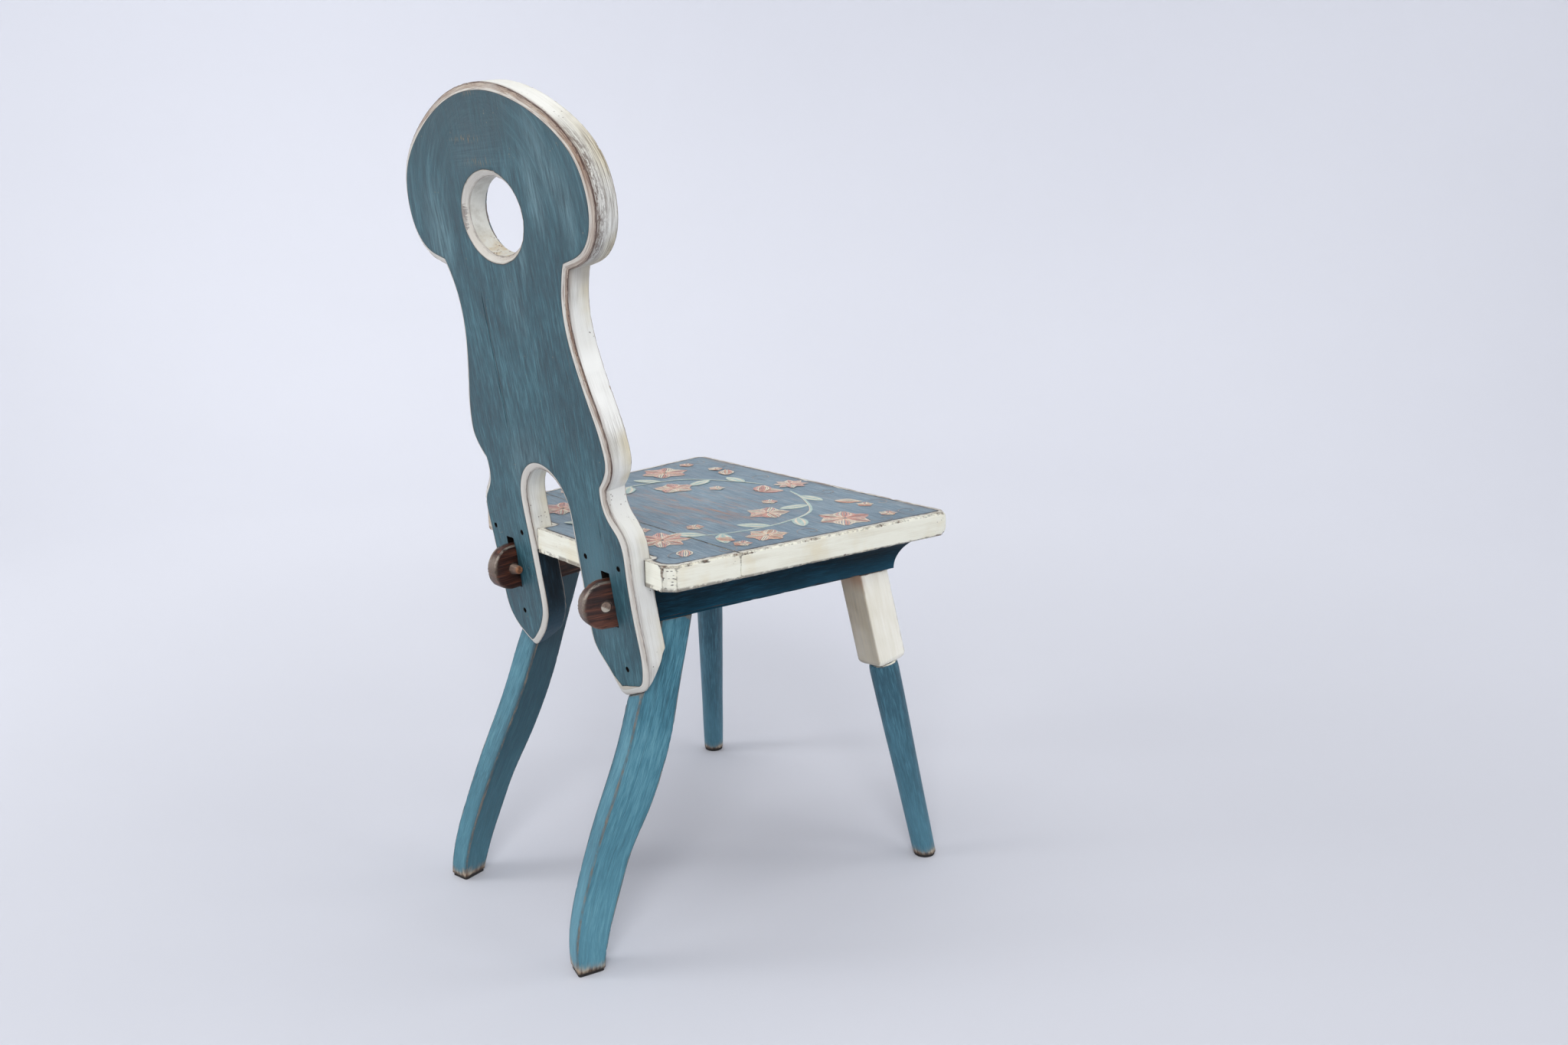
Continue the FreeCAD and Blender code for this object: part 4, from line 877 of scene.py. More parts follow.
# ------------------------------------------------------------------ back board
def build_back():
    bm = raw("back_board")
    nb, up = Vector(NB), Vector(UP)

    def vw(c):
        d = np.array(c) - P0
        return float(d @ UP), float(d @ NB)

    def inner(c):                                  # accepts every point; nothing calls it
        v, w = vw(c)
        return True
    kd = tree(sharp_points(bm, 24.0, 0.0008))
    # outline and hole edges for the distance fields, from the rear and front arrises
    rear_out, front_out, hole_out = [], [], []
    for e in bm.edges:
        if len(e.link_faces) != 2:
            continue
        a, b = e.verts[0].co, e.verts[1].co
        c = (a + b) / 2
        v, w = vw(c)
        u = -c.x
        hole = (u / 0.056) ** 2 + ((v - 0.346) / 0.071) ** 2 < 1.0
        n = max(1, int((b - a).length / 0.0006))
        line = [a.lerp(b, i / n) for i in range(n + 1)]
        if hole:
            if abs(w) > 0.0005 and w > -0.02 and e.calc_face_angle(0) > math.radians(20):
                hole_out += line
        elif abs(w + 0.003) < 0.0003 and abs(vw(a)[1] + 0.003) < 0.0003 and abs(vw(b)[1] + 0.003) < 0.0003 \
                and max(f.normal.dot(nb) for f in e.link_faces) < 0.9995 and max(f.normal.dot(nb) for f in e.link_faces) > 0.75:
            rear_out += line
        elif w < -BACK_T + 0.0022:
            front_out += line

    # arc length round the outline from its angle order about two centres
    def flat(p):
        v, w = vw(p)
        return Vector((-p.x, v, 0.0))
    ro = tree([flat(p) for p in rear_out])
    ho = tree([flat(p) for p in hole_out]) if hole_out else None
    grid = 0.006
    rear = lambda f: f.normal.dot(nb) > 0.9999
    cut(bm, (1, 0, 0), (0, 0, 0), -0.186, 0.19, grid)
    cut(bm, up, P0, -0.168, 0.477, grid)
    for w in (-0.0048, -0.0085, -0.0125, -0.0165, -0.0205, -0.0243):
        cut(bm, nb, P0, w, w + 1e-5, 1.0)

    # two long shakes in the rear face, opened as shallow grooves
    def shake(u0, v0, v1, half=0.0007):
        def sel(f):
            if f.normal.dot(nb) < 0.999:
                return False
            c = f.calc_center_median()
            v, w = vw(c)
            return abs(-c.x - u0) < 0.006 and v0 - 0.004 < v < v1 + 0.004
        for k in (-half, 0.0, half):
            cut(bm, (-1, 0, 0), (0, 0, 0), u0 + k, u0 + k + 1e-5, 1.0, sel)
    shakes = [(-0.0535, 0.118, 0.272, 0.0012), (0.0055, 0.444, 0.462, 0.0007), (0.1040, 0.008, 0.034, 0.0008)]
    for u0, v0, v1, k in shakes:
        shake(u0, v0, v1, 0.0008)

    def extra(me, co, loc):
        fl = np.stack([-co[:, 0], loc[:, 1], np.zeros(len(co))], 1)
        rim, ix = nearest(ro, fl)
        run = np.zeros(len(co))
        pts = np.array([tuple(flat(p)) for p in rear_out])
        # a smooth along-edge coordinate: height on the waists, angle on the round head
        hp = fl - np.array((0, 0.33, 0))
        ang = np.arctan2(hp[:, 0], hp[:, 1])
        headw = np.clip((fl[:, 1] - 0.285) / 0.03, 0, 1)
        run = np.where(headw > 0.5, ang * 0.165, fl[:, 1] + np.sign(fl[:, 0]) * 0.7)
        hole = ((fl[:, 0] / 0.062) ** 2 + ((fl[:, 1] - 0.346) / 0.077) ** 2) < 1.0
        if ho is not None:
            hr, _ = nearest(ho, fl)
            hp2 = fl - np.array((0, 0.346, 0))
            run = np.where(hole, np.arctan2(hp2[:, 0], hp2[:, 1]) * 0.048, run)
            rim = np.minimum(rim, np.where(loc[:, 2] > -0.010, hr + 0.0, rim))
        set_float(me, "rim", np.minimum(rim, 0.06))
        set_float(me, "run", run)
        crack = np.zeros(len(co))
        mv = np.zeros((len(co), 3))
        for u0, v0, v1, dep in shakes:
            on = (np.abs(fl[:, 0] - u0) < 2e-4) & (loc[:, 2] > -3e-4) & (loc[:, 1] > v0) & (loc[:, 1] < v1)
            near = (np.abs(fl[:, 0] - u0) < 9e-4) & (loc[:, 2] > -3e-4) & (loc[:, 1] > v0 - 0.002) & (loc[:, 1] < v1 + 0.002)
            t = np.clip(np.minimum(loc[:, 1] - v0, v1 - loc[:, 1]) / 0.012, 0, 1)
            crack = np.where(on, np.maximum(crack, 0.35 + 0.65 * t), crack)
            wob = np.array([n3((0, q, 0), 26.0, u0 * 90) * 0.0022 + n3((0, q, 0), 120.0, 4.0) * 0.0004 for q in loc[:, 1]])
            mv[:, 0] += np.where(near, wob * t, 0)
            mv -= np.where(on, dep * t, 0)[:, None] * NB
        set_float(me, "crack", crack)
        co += mv

    def index(c, n):
        loc = board_local(c)
        nz = n @ NB
        u, v, w = -loc[:, 0], loc[:, 1], loc[:, 2]
        mi = np.full(len(c), 2)
        mi[nz > 0.9995] = 0
        hole = ((u / 0.058) ** 2 + ((v - 0.346) / 0.073) ** 2) < 1.0
        band = (nz > 0.75) & (nz <= 0.9995) & (w > -0.0032)
        mi[band & ~hole] = 1
        ring = hole & (nz > 0.2)
        mi[ring & (nz <= 0.9995)] = 4
        mi[hole & (nz <= 0.2) & (nz > -0.6)] = 5
        front = (nz < -0.6)
        mi[front] = 3
        # the pared toes face forward too, further in than the front face
        q = (w < -0.004) & (nz < -0.3) & (v < -0.06)
        mi[q] = 3
        # mortises and nail holes
        rimd = np.array([ro.find(Vector((a, b, 0)))[2] for a, b in zip(u, v)])
        deep = (np.abs(nz) < 0.3) & (rimd > 0.0105) & ~hole & (v < 0.03)
        mi[deep] = 6
        flatnail = (nz > 0.9) & (w < -0.0015) & (rimd > 0.0105) & ~hole
        mi[flatnail] = 6
        inside = (mi == 2) & (v < -0.029) & (n[:, 0] * np.sign(c[:, 0]) < 0.1) & (np.abs(u) < 0.092)
        mi[inside] = 7
        return mi

    mats = [mat_back_rear(), mat_back_band(), mat_back_side(), mat_back_front(), mat_hole_band(), mat_hole_wall(), mat_socket(), mat_back_inner()]
    return finish_piece(bm, "back_panel", "back_board", "chair", mats, board_local, kd, 2.0, index,
                        chips=0.0010, wave=0.00025, smooth=34.0, chip_scale=120.0, chip_at=0.16, extra=extra)


# ------------------------------------------------------------------ seat
def build_seat():
    tops = None
    made = []
    nt = Vector((0, math.sin(TILT), math.cos(TILT)))
    mats = [mat_seat_top(0), mat_seat_edge(), mat_seat_under()]
    # outline of the whole seat, for the border distance
    bms = {n: raw(n) for n in ("seat_front_board", "seat_rear_board")}
    out = []
    for bm in bms.values():
        for e in bm.edges:
            if len(e.link_faces) != 2 or e.calc_face_angle(0) < math.radians(20):
                continue
            a, b = e.verts[0].co, e.verts[1].co
            m = (a + b) / 2
            if abs(m.y - 0.052609) < 0.0006 and abs(a.y - b.y) < 1e-4:
                continue
            ztop = 0.4535 - math.tan(TILT) * (m.y + 0.234891)
            if abs(m.z - ztop) > 0.0005:
                continue
            k = max(1, int((b - a).length / 0.0008))
            out += [Vector((a.x + (b.x - a.x) * i / k, a.y + (b.y - a.y) * i / k, 0)) for i in range(k + 1)]
    ro = tree(out)
    for node, bm in bms.items():
        kd = tree(sharp_points(bm, 24.0, 0.0008))
        cut(bm, (1, 0, 0), (0, 0, 0), -0.234, 0.236, 0.006)
        y0, y1 = (-0.233, 0.052) if node == "seat_front_board" else (0.0555, 0.150)
        cut(bm, (0, 1, 0), (0, 0, 0), y0, y1, 0.006)
        for z in (0.4262, 0.432, 0.438, 0.444, 0.4485):
            cut(bm, (0, 0, 1), (0, 0, 0), z, z + 1e-5, 1.0)

        def extra(me, co, loc):
            fl = co * np.array((1, 1, 0))
            rim, _ = nearest(ro, fl)
            set_float(me, "rim", np.minimum(rim, 0.08))
            run = np.where(np.abs(co[:, 1]) > 1.0, 0, co[:, 1]) + np.sign(co[:, 0]) * 0.6
            frontish = co[:, 1] < -0.2368
            run = np.where(frontish, co[:, 0] + 2.0, run)
            rearish = co[:, 1] > 0.139
            run = np.where(rearish, co[:, 0] + 4.0, run)
            set_float(me, "run", run)
            if node == "seat_front_board":
                # the two front corners are worn round like a knuckle
                yf = co[:, 1].min()
                top = 0.4535 - math.tan(TILT) * (co[:, 1] + 0.234891)
                a = 0.2395 - 0.1245 * (co[:, 1] - yf) - np.abs(co[:, 0])
                b = co[:, 1] - yf
                big, tall = 0.0100, 0.0088
                qa, qb = np.maximum(big - a, 0), np.maximum(big - b, 0)
                qc, qd = np.maximum(tall - (top - co[:, 2]), 0), np.maximum(tall - (co[:, 2] - top + 0.029), 0)
                far = np.sqrt(qa ** 2 + qb ** 2 + qc ** 2 + qd ** 2)
                over = np.where((qa > 0) & (qb > 0), np.maximum(far - big, 0) / np.maximum(far, 1e-9), 0)
                co[:, 0] -= np.sign(co[:, 0]) * over * qa
                co[:, 1] += over * qb
                co[:, 2] += over * (qd - qc)

        def index(c, n):
            mi = np.full(len(c), 1)
            mi[n[:, 2] > 0.9] = 0
            mi[n[:, 2] < -0.9] = 2
            return mi
        made.append(finish_piece(bm, node.replace("board", "plank"), node, "chair", mats,
                                 lambda co: co.copy(), kd, 5.0, index, chips=0.0011, wave=0.00022, smooth=50.0,
                                 chip_scale=130.0, chip_at=0.14, extra=extra))
    return made


# ------------------------------------------------------------------ battens with their through tongues
def build_batten(side, node):
    sg = 1 if side == "left" else -1
    bn = BN * np.array((sg, 1, 1))
    bd = BD * np.array((sg, 1, 1))
    c0 = np.array((sg * 0.10004, 0.15963, 0.0))

    def local(co):
        d = co - c0
        return np.stack([(d @ bn), d @ bd, co[:, 2]], 1)
    bm = raw(node)
    kd = tree(sharp_points(bm, 24.0, 0.0008))
    cut(bm, bd, c0, -0.40, 0.045, 0.007)
    cut(bm, (0, 0, 1), (0, 0, 0), 0.377, 0.424, 0.006)
    cut(bm, bn, c0, -0.05, 0.08, 0.012)

    def extra(me, co, loc):
        ztop, zbot = 0.4209, 0.3675
        r = (ztop - zbot) / 2
        zc = (ztop + zbot) / 2
        end = loc[:, 1].max()
        sc = end - r
        dz = co[:, 2] - zc
        ds = np.maximum(loc[:, 1] - sc, 0)
        tip = np.where(loc[:, 1] > sc, r - np.sqrt(ds ** 2 + dz ** 2), sc - loc[:, 1] + np.maximum(r - np.abs(dz), 0))
        rad = np.where(loc[:, 1] > sc, np.sqrt(ds ** 2 + dz ** 2), np.abs(dz))
        set_float(me, "tip", np.clip(end - loc[:, 1], 0, 0.08) * 0.55 + np.clip(r - rad, 0, 0.03) * 0.45)

    def index(c, n):
        loc = local(c)
        d = c - P0
        w = d @ NB
        v = d @ UP
        nn = n @ bn
        mi = np.zeros(len(c), int)
        mi[nn < -0.35] = 1
        mi[(np.abs(n[:, 2]) > 0.8) & (n[:, 2] < 0)] = 1
        # the tongue beyond the shoulder
        mi[(w > -BACK_T - 0.0003) & (np.abs(loc[:, 0]) < 0.0085)] = 2
        return mi
    return finish_piece(bm, side + "_rail", node, "chair", [MAT["batten"], MAT["batten_in"], MAT["tongue"]],
                        local, kd, 3.0 + sg, index, chips=0.0009, wave=0.00025, smooth=50.0, extra=extra)


# ------------------------------------------------------------------ legs
def build_rear_leg(side, node):
    sg = 1 if side == "left" else -1
    la = np.array((math.cos(PHI) * sg, math.sin(PHI), 0))
    lb = np.array((-math.sin(PHI) * sg, math.cos(PHI), 0))
    foot = REAR_FOOT * np.array((sg, 1, 1))

    def local(co):
        d = co - foot
        z = co[:, 2]
        mid = np.interp(z, LEG_Z, (LEG_REAR + LEG_FRONT) / 2)
        return np.stack([d @ la + 0.057 * z / 0.39, d @ lb - mid, z], 1)
    bm = raw(node)
    kd = tree(sharp_points(bm, 24.0, 0.0008))
    cut(bm, (0, 0, 1), (0, 0, 0), 0.006, 0.366, 0.006)
    cut(bm, lb, foot, -0.168, 0.018, 0.006)
    la_t = Vector((la[0], la[1], 0.057 / 0.39)).normalized()
    for t in (-0.010, -0.005, 0.0, 0.005, 0.010):
        cut(bm, la_t, Vector(foot) + la_t * t, 0.0, 1e-5, 1.0)

    def extra(me, co, loc):
        # mask of the faces turned in towards the chair's middle, for grime and painted shade on the leg
        set_float(me, "inward_grime_and_shade", np.clip((-(loc[:, 0]) - 0.0090) / 0.0030, 0, 1))

    def index(c, n):
        mi = np.zeros(len(c), int)
        mi[(n[:, 2] < -0.8) | ((c[:, 2] > 0.360) & (n[:, 2] > 0.5))] = 1
        return mi
    return finish_piece(bm, "rear_" + side + "_post", node, "chair", [MAT["leg" if side == "right" else "leg_left_shaded"], MAT["plain"]],
                        local, kd, 9.0 + sg, index, chips=0.0008, wave=0.00035, smooth=50.0, chip_at=0.2, extra=extra)


def build_front_leg(side, node):
    sg = 1 if side == "left" else -1
    foot = FRONT_FOOT * np.array((sg, 1, 1))
    top = FRONT_TOP * np.array((sg, 1, 1))
    ax = (top - foot) / np.linalg.norm(top - foot)
    ex = np.cross((0, 1, 0), ax)
    ex /= np.linalg.norm(ex)
    ey = np.cross(ax, ex)

    def local(co):
        d = co - foot
        return np.stack([d @ ex, d @ ey, co[:, 2]], 1)
    bm = raw(node)
    kd = tree(sharp_points(bm, 24.0, 0.0008, keep=lambda c: True))
    cut(bm, (0, 0, 1), (0, 0, 0), 0.008, 0.374, 0.006)
    block = lambda f: f.calc_center_median().z > 0.256
    for t in (-0.0165, -0.011, -0.0055, 0.0, 0.0055, 0.011, 0.0165):
        cut(bm, ex, Vector(foot) + Vector(ex) * t, 0.0, 1e-5, 1.0, block)
        cut(bm, ey, Vector(foot) + Vector(ey) * t, 0.0, 1e-5, 1.0, block)

    def extra(me, co, loc):
        # how far a side of the block faces the rear and the middle of the chair, which sets the painted shade on the
        # block
        nor = np.empty(len(me.vertices) * 3, np.float32)
        me.vertices.foreach_get("normal", nor)
        nor = nor.reshape(-1, 3)
        q = nor @ np.array((0.05 * sg * -1, 1.0, 0.0))
        set_float(me, "inside", np.clip(q * 1.3 - 0.1, 0, 1))

    def index(c, n):
        loc = local(c)
        r = np.hypot(loc[:, 0], loc[:, 1])
        mi = np.zeros(len(c), int)
        blk = (c[:, 2] > 0.2550) & ~((r < 0.0193) & (c[:, 2] < 0.262) & (np.abs(n @ ax) < 0.5))
        mi[blk] = 1
        mi[(c[:, 2] > 0.3755)] = 2
        mi[n[:, 2] < -0.97] = np.where(c[n[:, 2] < -0.97][:, 2] < 0.01, 2, mi[n[:, 2] < -0.97])
        return mi
    return finish_piece(bm, "front_" + side + "_post", node, "chair", [MAT["shaft"], MAT["block"], MAT["plain"]],
                        local, kd, 14.0 + sg, index, chips=0.0007, wave=0.0003, smooth=50.0, chip_at=0.2, extra=extra)


def build_peg(side, node):
    sg = 1 if side == "left" else -1
    bn = BN * np.array((sg, 1, 1))
    bd = BD * np.array((sg, 1, 1))
    c0 = np.array((sg * 0.10004, 0.15963, 0.3925))

    def local(co):
        d = co - c0
        return np.stack([d @ bn, d @ bd, d[:, 2]], 1)
    bm = raw(node)
    kd = tree(sharp_points(bm, 24.0, 0.0008))
    cut(bm, bn, c0, -0.018, 0.008, 0.002)
    return finish_piece(bm, side + "_pin", node, side + "_peg", [MAT["peg"]],
                        local, kd, 20.0 + sg, lambda c, n: np.zeros(len(c), int), chips=0.0004, wave=0.00008, smooth=50.0)


# ------------------------------------------------------------------ painted motifs on the seat
CORAL, PINK, CREAM, MINT, ORNG, DEEP, ROSE = (rgb(214, 118, 92), rgb(226, 160, 148), rgb(236, 222, 196),
                                              rgb(160, 204, 198), rgb(222, 148, 92), rgb(52, 72, 96), rgb(196, 96, 80))


class Strokes:
    def __init__(self):
        self.v, self.f, self.st, self.col = [], [], [], []
        self.n = 0
        self.r = random.Random(41)

    def add(self, pts, w, col, taper=(0.15, 0.15)):
        """One brush stroke along pts (x, y), w wide at its belly."""
        p = np.array(pts, float)
        t = np.linspace(0, len(p) - 1, len(p))
        k = max(6, int(np.sum(np.linalg.norm(np.diff(p, axis=0), axis=1)) / 0.0022))
        q = np.linspace(0, len(p) - 1, k)
        if len(p) > 2:
            c = [catmull(p, x) for x in q]
        else:
            c = [p[0] + (p[1] - p[0]) * x for x in q]
        c = np.array(c)
        d = np.gradient(c, axis=0)
        d /= np.maximum(np.linalg.norm(d, axis=1), 1e-9)[:, None]
        nrm = np.stack([-d[:, 1], d[:, 0]], 1)
        self.n += 1
        lift = 0.00012 + 0.0000009 * self.n
        base = len(self.v)
        run = 0.0
        for i in range(k):
            f = i / (k - 1)
            ww = w * 0.5
            ww *= min(1.0, (f + 0.02) / max(taper[0], 0.01)) ** 0.6
            ww *= min(1.0, (1 - f + 0.02) / max(taper[1], 0.01)) ** 0.6
            ww *= 1.0 + 0.30 * n3((c[i][0], c[i][1], self.n), 300.0)
            for s in (-1, 0, 1):
                x, y = c[i] + nrm[i] * ww * s
                z = 0.4535 - math.tan(TILT) * (y + 0.234891)
                self.v.append((x, y, z - 0.00002 + lift + (0.00006 if s == 0 else 0)))
                self.st.append((run, ww * s, self.n * 0.37))
                j = 1.0 + 0.10 * n3((self.n * 3.1, i * 0.02, 1.0), 1.0)
                self.col.append((min(1, col[0] * j), min(1, col[1] * j), min(1, col[2] * j), 1.0))
            if i < k - 1:
                run += float(np.linalg.norm(c[i + 1] - c[i]))
                for s in (0, 1):
                    a = base + i * 3 + s
                    self.f.append((a, a + 1, a + 4, a + 3))

    def jitter(self, s):
        return self.r.uniform(-s, s)

    def petal(self, cx, cy, ang, length, width, cols, lines=6):
        """A petal hatched from its root outwards with curved strokes."""
        c, s = math.cos(ang), math.sin(ang)

        def at(a, b):
            return (cx + c * a - s * b, cy + s * a + c * b)
        for i in range(lines):
            b = (i / (lines - 1) - 0.5) * 2
            bw = b * width * 0.5
            w = width / lines * 0.86
            col = cols[(i + self.r.randrange(2)) % len(cols)]
            ll = length * (1 - 0.22 * abs(b) ** 2 + self.jitter(0.05))
            self.add([at(length * 0.08, bw * 0.20), at(length * 0.38, bw * 0.98), at(ll * 0.78, bw * 1.02), at(ll, bw * 0.52 + self.jitter(0.0006))],
                     w, col, (0.35, 0.3))

    def flower(self, cx, cy, r, petals, cols, eye, turn=0.0, squash=0.62):
        for i in range(petals):
            self.petal(cx, cy, turn + i * 2 * math.pi / petals, r, r * squash, cols, 4 if r < 0.015 else 8)
        for i in range(9):
            a = i * 2.4
            q = r * 0.07 * math.sqrt(i)
            self.add([(cx + math.cos(a) * q, cy + math.sin(a) * q), (cx + math.cos(a) * (q + r * 0.10), cy + math.sin(a) * (q + r * 0.10))],
                     r * 0.10, eye, (0.3, 0.3))

    def leaf(self, x, y, ang, length, width, cols):
        c, s = math.cos(ang), math.sin(ang)

        def at(a, b):
            return (x + c * a - s * b, y + s * a + c * b)
        for side in (-1, 1):
            for i in range(3):
                k = (i + 0.6) / 3
                self.add([at(0, 0), at(length * 0.35, side * width * 0.5 * k), at(length * 0.75, side * width * 0.42 * k), at(length, side * 0.0004)],
                         width / 5.2, cols[i % len(cols)], (0.2, 0.45))

    def curl(self, x, y, ang, size, turns, w, col, hand=1):
        pts = []
        for i in range(14):
            t = i / 13
            a = ang + hand * t * turns * 2 * math.pi
            q = size * (1 - t) ** 1.15
            pts.append((x + math.cos(a) * q, y + math.sin(a) * q))
        self.add(pts, w, col, (0.3, 0.2))


def catmull(p, x):
    i = min(int(x), len(p) - 2)
    t = x - i
    a, b = p[max(i - 1, 0)], p[i]
    c, d = p[i + 1], p[min(i + 2, len(p) - 1)]
    return 0.5 * ((2 * b) + (c - a) * t + (2 * a - 5 * b + 4 * c - d) * t * t + (3 * b - a - 3 * c + d) * t ** 3)


def build_artwork():
    S = Strokes()
    warm = [CORAL, CREAM, PINK, CREAM, ROSE]
    pale = [CREAM, CORAL, CREAM, PINK]
    org = [ORNG, CREAM, CORAL, CREAM]
    mint = [MINT, CREAM, MINT]
    # dark scrolls near the corners
    for sx in (-1, 1):
        for (x, y, a, h) in ((0.204, -0.206, 0.4, 1), (0.206, -0.160, 2.4, -1), (0.150, -0.212, 1.6, 1),
                             (0.166, 0.106, 5.0, -1), (0.180, 0.056, 3.4, 1), (0.190, -0.060, 1.1, 1), (0.060, -0.205, 2.2, -1)):
            S.curl(sx * x, y, a if sx > 0 else math.pi - a, 0.019, 1.15, 0.0017, DEEP, h * sx)
    # two boughs, one each side, leaning out from the front middle
    for sx in (-1, 1):
        stem = [(sx * 0.026, -0.176), (sx * 0.072, -0.158), (sx * 0.124, -0.120), (sx * 0.140, -0.060), (sx * 0.134, 0.000), (sx * 0.112, 0.052)]
        S.add(stem, 0.0030, MINT, (0.1, 0.2))
        S.add([(a + 0.001, b + 0.0013) for a, b in stem], 0.0013, CREAM, (0.2, 0.3))
        for i, (fx, fy, out) in enumerate(((0.054, -0.166, -1), (0.098, -0.142, 1), (0.134, -0.090, -1), (0.141, -0.044, 1), (0.128, 0.018, -1), (0.120, 0.034, 1))):
            base = math.atan2(0.06, 0.05 if i < 2 else 0.004)
            if sx < 0:
                base = math.pi - base
            S.leaf(sx * fx, fy, base + sx * out * 0.95, 0.040, 0.0165, mint)
        S.flower(sx * 0.176, -0.126, 0.0330, 6, warm, ORNG, 0.3, 0.66)
        S.flower(sx * 0.092, -0.080, 0.0270, 5, pale, CORAL, 0.9 * sx, 0.72)
        S.flower(sx * 0.168, -0.014, 0.0245, 6, org, CREAM, 0.1, 0.66)
        S.flower(sx * 0.102, 0.082, 0.0320, 8, warm, ORNG, 0.2, 0.48)
        S.petal(sx * 0.022, -0.172, math.pi / 2 + sx * 0.8, 0.040, 0.020, warm, 9)
        S.petal(sx * 0.104, -0.176, -math.pi / 2 + sx * 0.9, 0.036, 0.018, org, 8)
        S.petal(sx * 0.150, 0.086, math.pi / 2 - sx * 0.9, 0.030, 0.015, pale, 7)
        S.petal(sx * 0.138, 0.036, -math.pi / 2 + sx * 1.1, 0.026, 0.013, org, 6)
        for (bx, by) in ((0.052, -0.118), (0.084, 0.022), (0.196, -0.178), (0.052, 0.074), (0.146, -0.190), (0.176, 0.028)):
            S.flower(sx * bx, by, 0.0115, 5, org if bx > 0.08 else pale, MINT, 0.4, 0.7)
    # small posy at the rear and a star at the front
    S.flower(0.0, 0.092, 0.0260, 7, warm, ORNG, 0.0, 0.55)
    for a in (0.25, 0.75, 2.39, 2.89):
        S.leaf(math.cos(a) * 0.022, 0.090 + math.sin(a) * 0.012 - 0.004, a, 0.034, 0.013, mint)
    S.flower(0.0, -0.200, 0.0235, 8, pale, CORAL, 0.2, 0.46)
    me = bpy.data.meshes.new("seat_painting")
    me.from_pydata(S.v, [], S.f)
    me.update()
    set_vec(me, "stroke", S.st)
    set_vec(me, "loc", S.v)
    at = me.attributes.new("tint", "FLOAT_COLOR", "POINT")
    at.data.foreach_set("color", np.asarray(S.col, np.float32).ravel())
    me.materials.append(mat_artwork())
    me.polygons.foreach_set("use_smooth", np.ones(len(me.polygons), bool))
    ob = bpy.data.objects.new("seat_painting", me)
    COLL.objects.link(ob)
    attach(ob, "chair")
    return ob


# ------------------------------------------------------------------ make everything
MAT = {
    "batten": mat_batten(), "batten_in": mat_batten_inner(), "tongue": mat_tongue(),
    "leg": mat_leg("leg_blue", 2.0, LEG_D, LEG_M, LEG_L),
    # a darker copy of the leg paint for the left rear leg: painted shade
    "leg_left_shaded": mat_leg("leg_blue_left_shaded", 3.0, rgb(34, 79, 95), rgb(57, 113, 131), rgb(92, 145, 160)),
    "shaft": mat_leg("shaft_blue", 6.0, rgb(28, 68, 84), rgb(48, 94, 112), rgb(82, 134, 152)),
    "block": mat_block(), "plain": mat_plain_wood(), "peg": mat_peg(),
}
build_back()
build_seat()
for side in ("left", "right"):
    build_batten(side, side + "_batten")
    build_rear_leg(side, "rear_" + side + "_leg")
    build_front_leg(side, "front_" + side + "_leg")
    build_peg(side, side + "_tongue_peg")
build_artwork()

IRON, PAD = mat_iron(), mat_pad()
for n, m in (("seat_nails", IRON), ("leg_nails", IRON), ("leg_tenon_wedges", MAT["plain"]),
             ("front_left_foot_pad", PAD), ("front_right_foot_pad", PAD),
             ("rear_left_foot_pad", PAD), ("rear_right_foot_pad", PAD)):
    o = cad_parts[n]
    if not o.material_slots:
        o.data.materials.append(m)
    for sl in o.material_slots:
        sl.material = m


# ------------------------------------------------------------------ studio
def build_stage():
    """One pale sweep: flat floor that rises all round in a wide curve."""
    prof = [(0.0, 0.0), (0.6, 0.0), (1.4, 0.0), (2.4, 0.0)]
    for i in range(1, 17):
        a = i / 16 * math.pi / 2
        prof.append((2.4 + 2.6 * math.sin(a), 2.6 * (1 - math.cos(a))))
    prof.append((5.0, 3.4))
    seg = 72
    v, f = [(0, 0, 0)], []
    for r, z in prof[1:]:
        for k in range(seg):
            a = 2 * math.pi * k / seg
            v.append((r * math.cos(a), r * math.sin(a), z))
    for k in range(seg):
        f.append((0, 1 + k, 1 + (k + 1) % seg))
    for i in range(len(prof) - 2):
        for k in range(seg):
            a, b = 1 + i * seg + k, 1 + i * seg + (k + 1) % seg
            f.append((a, a + seg, b + seg, b))
    me = bpy.data.meshes.new("studio_sweep")
    me.from_pydata(v, [], f)
    me.polygons.foreach_set("use_smooth", np.ones(len(me.polygons), bool))
    m = Mat("studio_paper")
    n = m.noise(m.new("ShaderNodeTexCoord").outputs["Object"], 0.8, 2, 0.5)
    m.done(m.ramp(n, [(0.3, (0.692, 0.708, 0.772, 1)), (0.7, (0.704, 0.720, 0.784, 1))]), 0.85)
    me.materials.append(m.m)
    ob = bpy.data.objects.new("studio_sweep", me)
    COLL.objects.link(ob)
    return ob


build_stage()
world = bpy.data.worlds.new("studio")
SCENE.world = world
world.use_nodes = True
bg = world.node_tree.nodes["Background"]
bg.inputs[0].default_value = (0.97, 0.98, 1.0, 1)
bg.inputs[1].default_value = 0.14


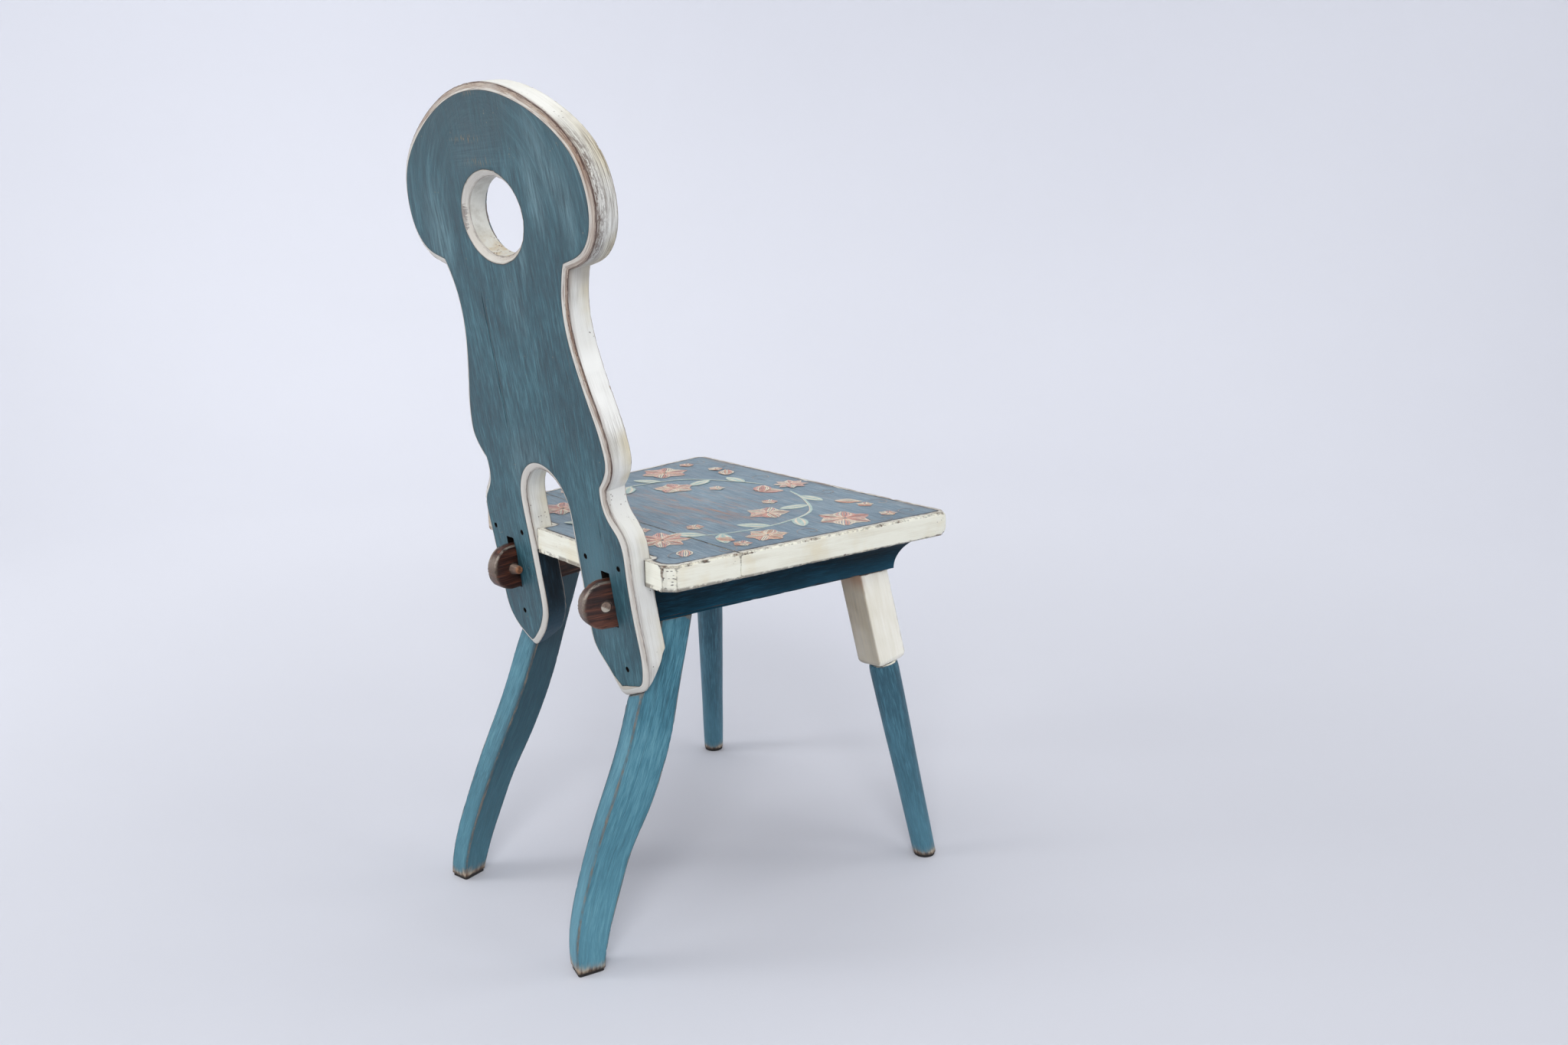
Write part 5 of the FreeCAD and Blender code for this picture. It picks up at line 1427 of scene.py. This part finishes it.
def area(name, at, aim, size, power, colour=(1, 1, 1)):
    d = bpy.data.lights.new(name, "AREA")
    d.shape = "RECTANGLE"
    d.size, d.size_y = size
    d.energy = power
    d.color = colour
    o = bpy.data.objects.new(name, d)
    COLL.objects.link(o)
    o.location = at
    o.rotation_euler = (Vector(aim) - Vector(at)).to_track_quat("-Z", "Y").to_euler()
    return o


area("overhead", (0.3, 0.2, 3.0), (0.2, 0.0, 0.0), (2.6, 2.6), 33.5)
area("left", (1.5, 2.3, 1.9), (0.0, 0.0, 0.4), (1.0, 1.0), 12.3)
area("left_low", (1.6, 2.0, 1.0), (0.0, 0.0, 0.4), (0.6, 0.6), 10.4)
area("right", (-2.5, -1.2, 1.8), (0.0, 0.0, 0.4), (1.0, 1.0), 7.5)
area("right_far", (-1.5, -2.4, 1.8), (0.0, 0.0, 0.4), (1.2, 1.2), 12.0)
area("near", (-1.9, 1.6, 2.1), (0.0, 0.0, 0.4), (1.2, 1.2), 39.5)
area("wash_left", (2.2, -0.2, 2.9), (4.4, -0.6, 1.2), (1.6, 1.6), 48.5)
area("wash_middle", (1.6, -1.4, 2.9), (3.4, -3.0, 1.0), (1.6, 1.6), 9.6)
area("wash_right", (0.2, -2.2, 2.9), (1.4, -4.4, 1.0), (1.6, 1.6), 39.5)

cam_data = bpy.data.cameras.new("photo_camera")
cam_data.sensor_fit = "HORIZONTAL"
cam_data.sensor_width = 36.0
cam_data.lens = 28.19
cam_data.clip_start = 0.05
cam_data.clip_end = 60
cam = bpy.data.objects.new("photo_camera", cam_data)
COLL.objects.link(cam)
yaw, pitch, roll = math.radians(-48.60), math.radians(14.27), math.radians(-0.687)
D = Vector((-math.cos(pitch) * math.sin(yaw), -math.cos(pitch) * math.cos(yaw), -math.sin(pitch)))
r = D.cross(Vector((0, 0, 1))).normalized()
u = r.cross(D)
r2 = math.cos(roll) * r + math.sin(roll) * u
u2 = -math.sin(roll) * r + math.cos(roll) * u
rot = Matrix((r2, u2, -D)).transposed()
cam.matrix_world = Matrix.Translation((-1.1674, 0.8416, 0.8001)) @ rot.to_4x4()
SCENE.camera = cam

SCENE.view_settings.view_transform = "Standard"
SCENE.view_settings.look = "None"
SCENE.view_settings.exposure = 0.0
SCENE.view_settings.gamma = 1.0

bpy.context.view_layer.update()
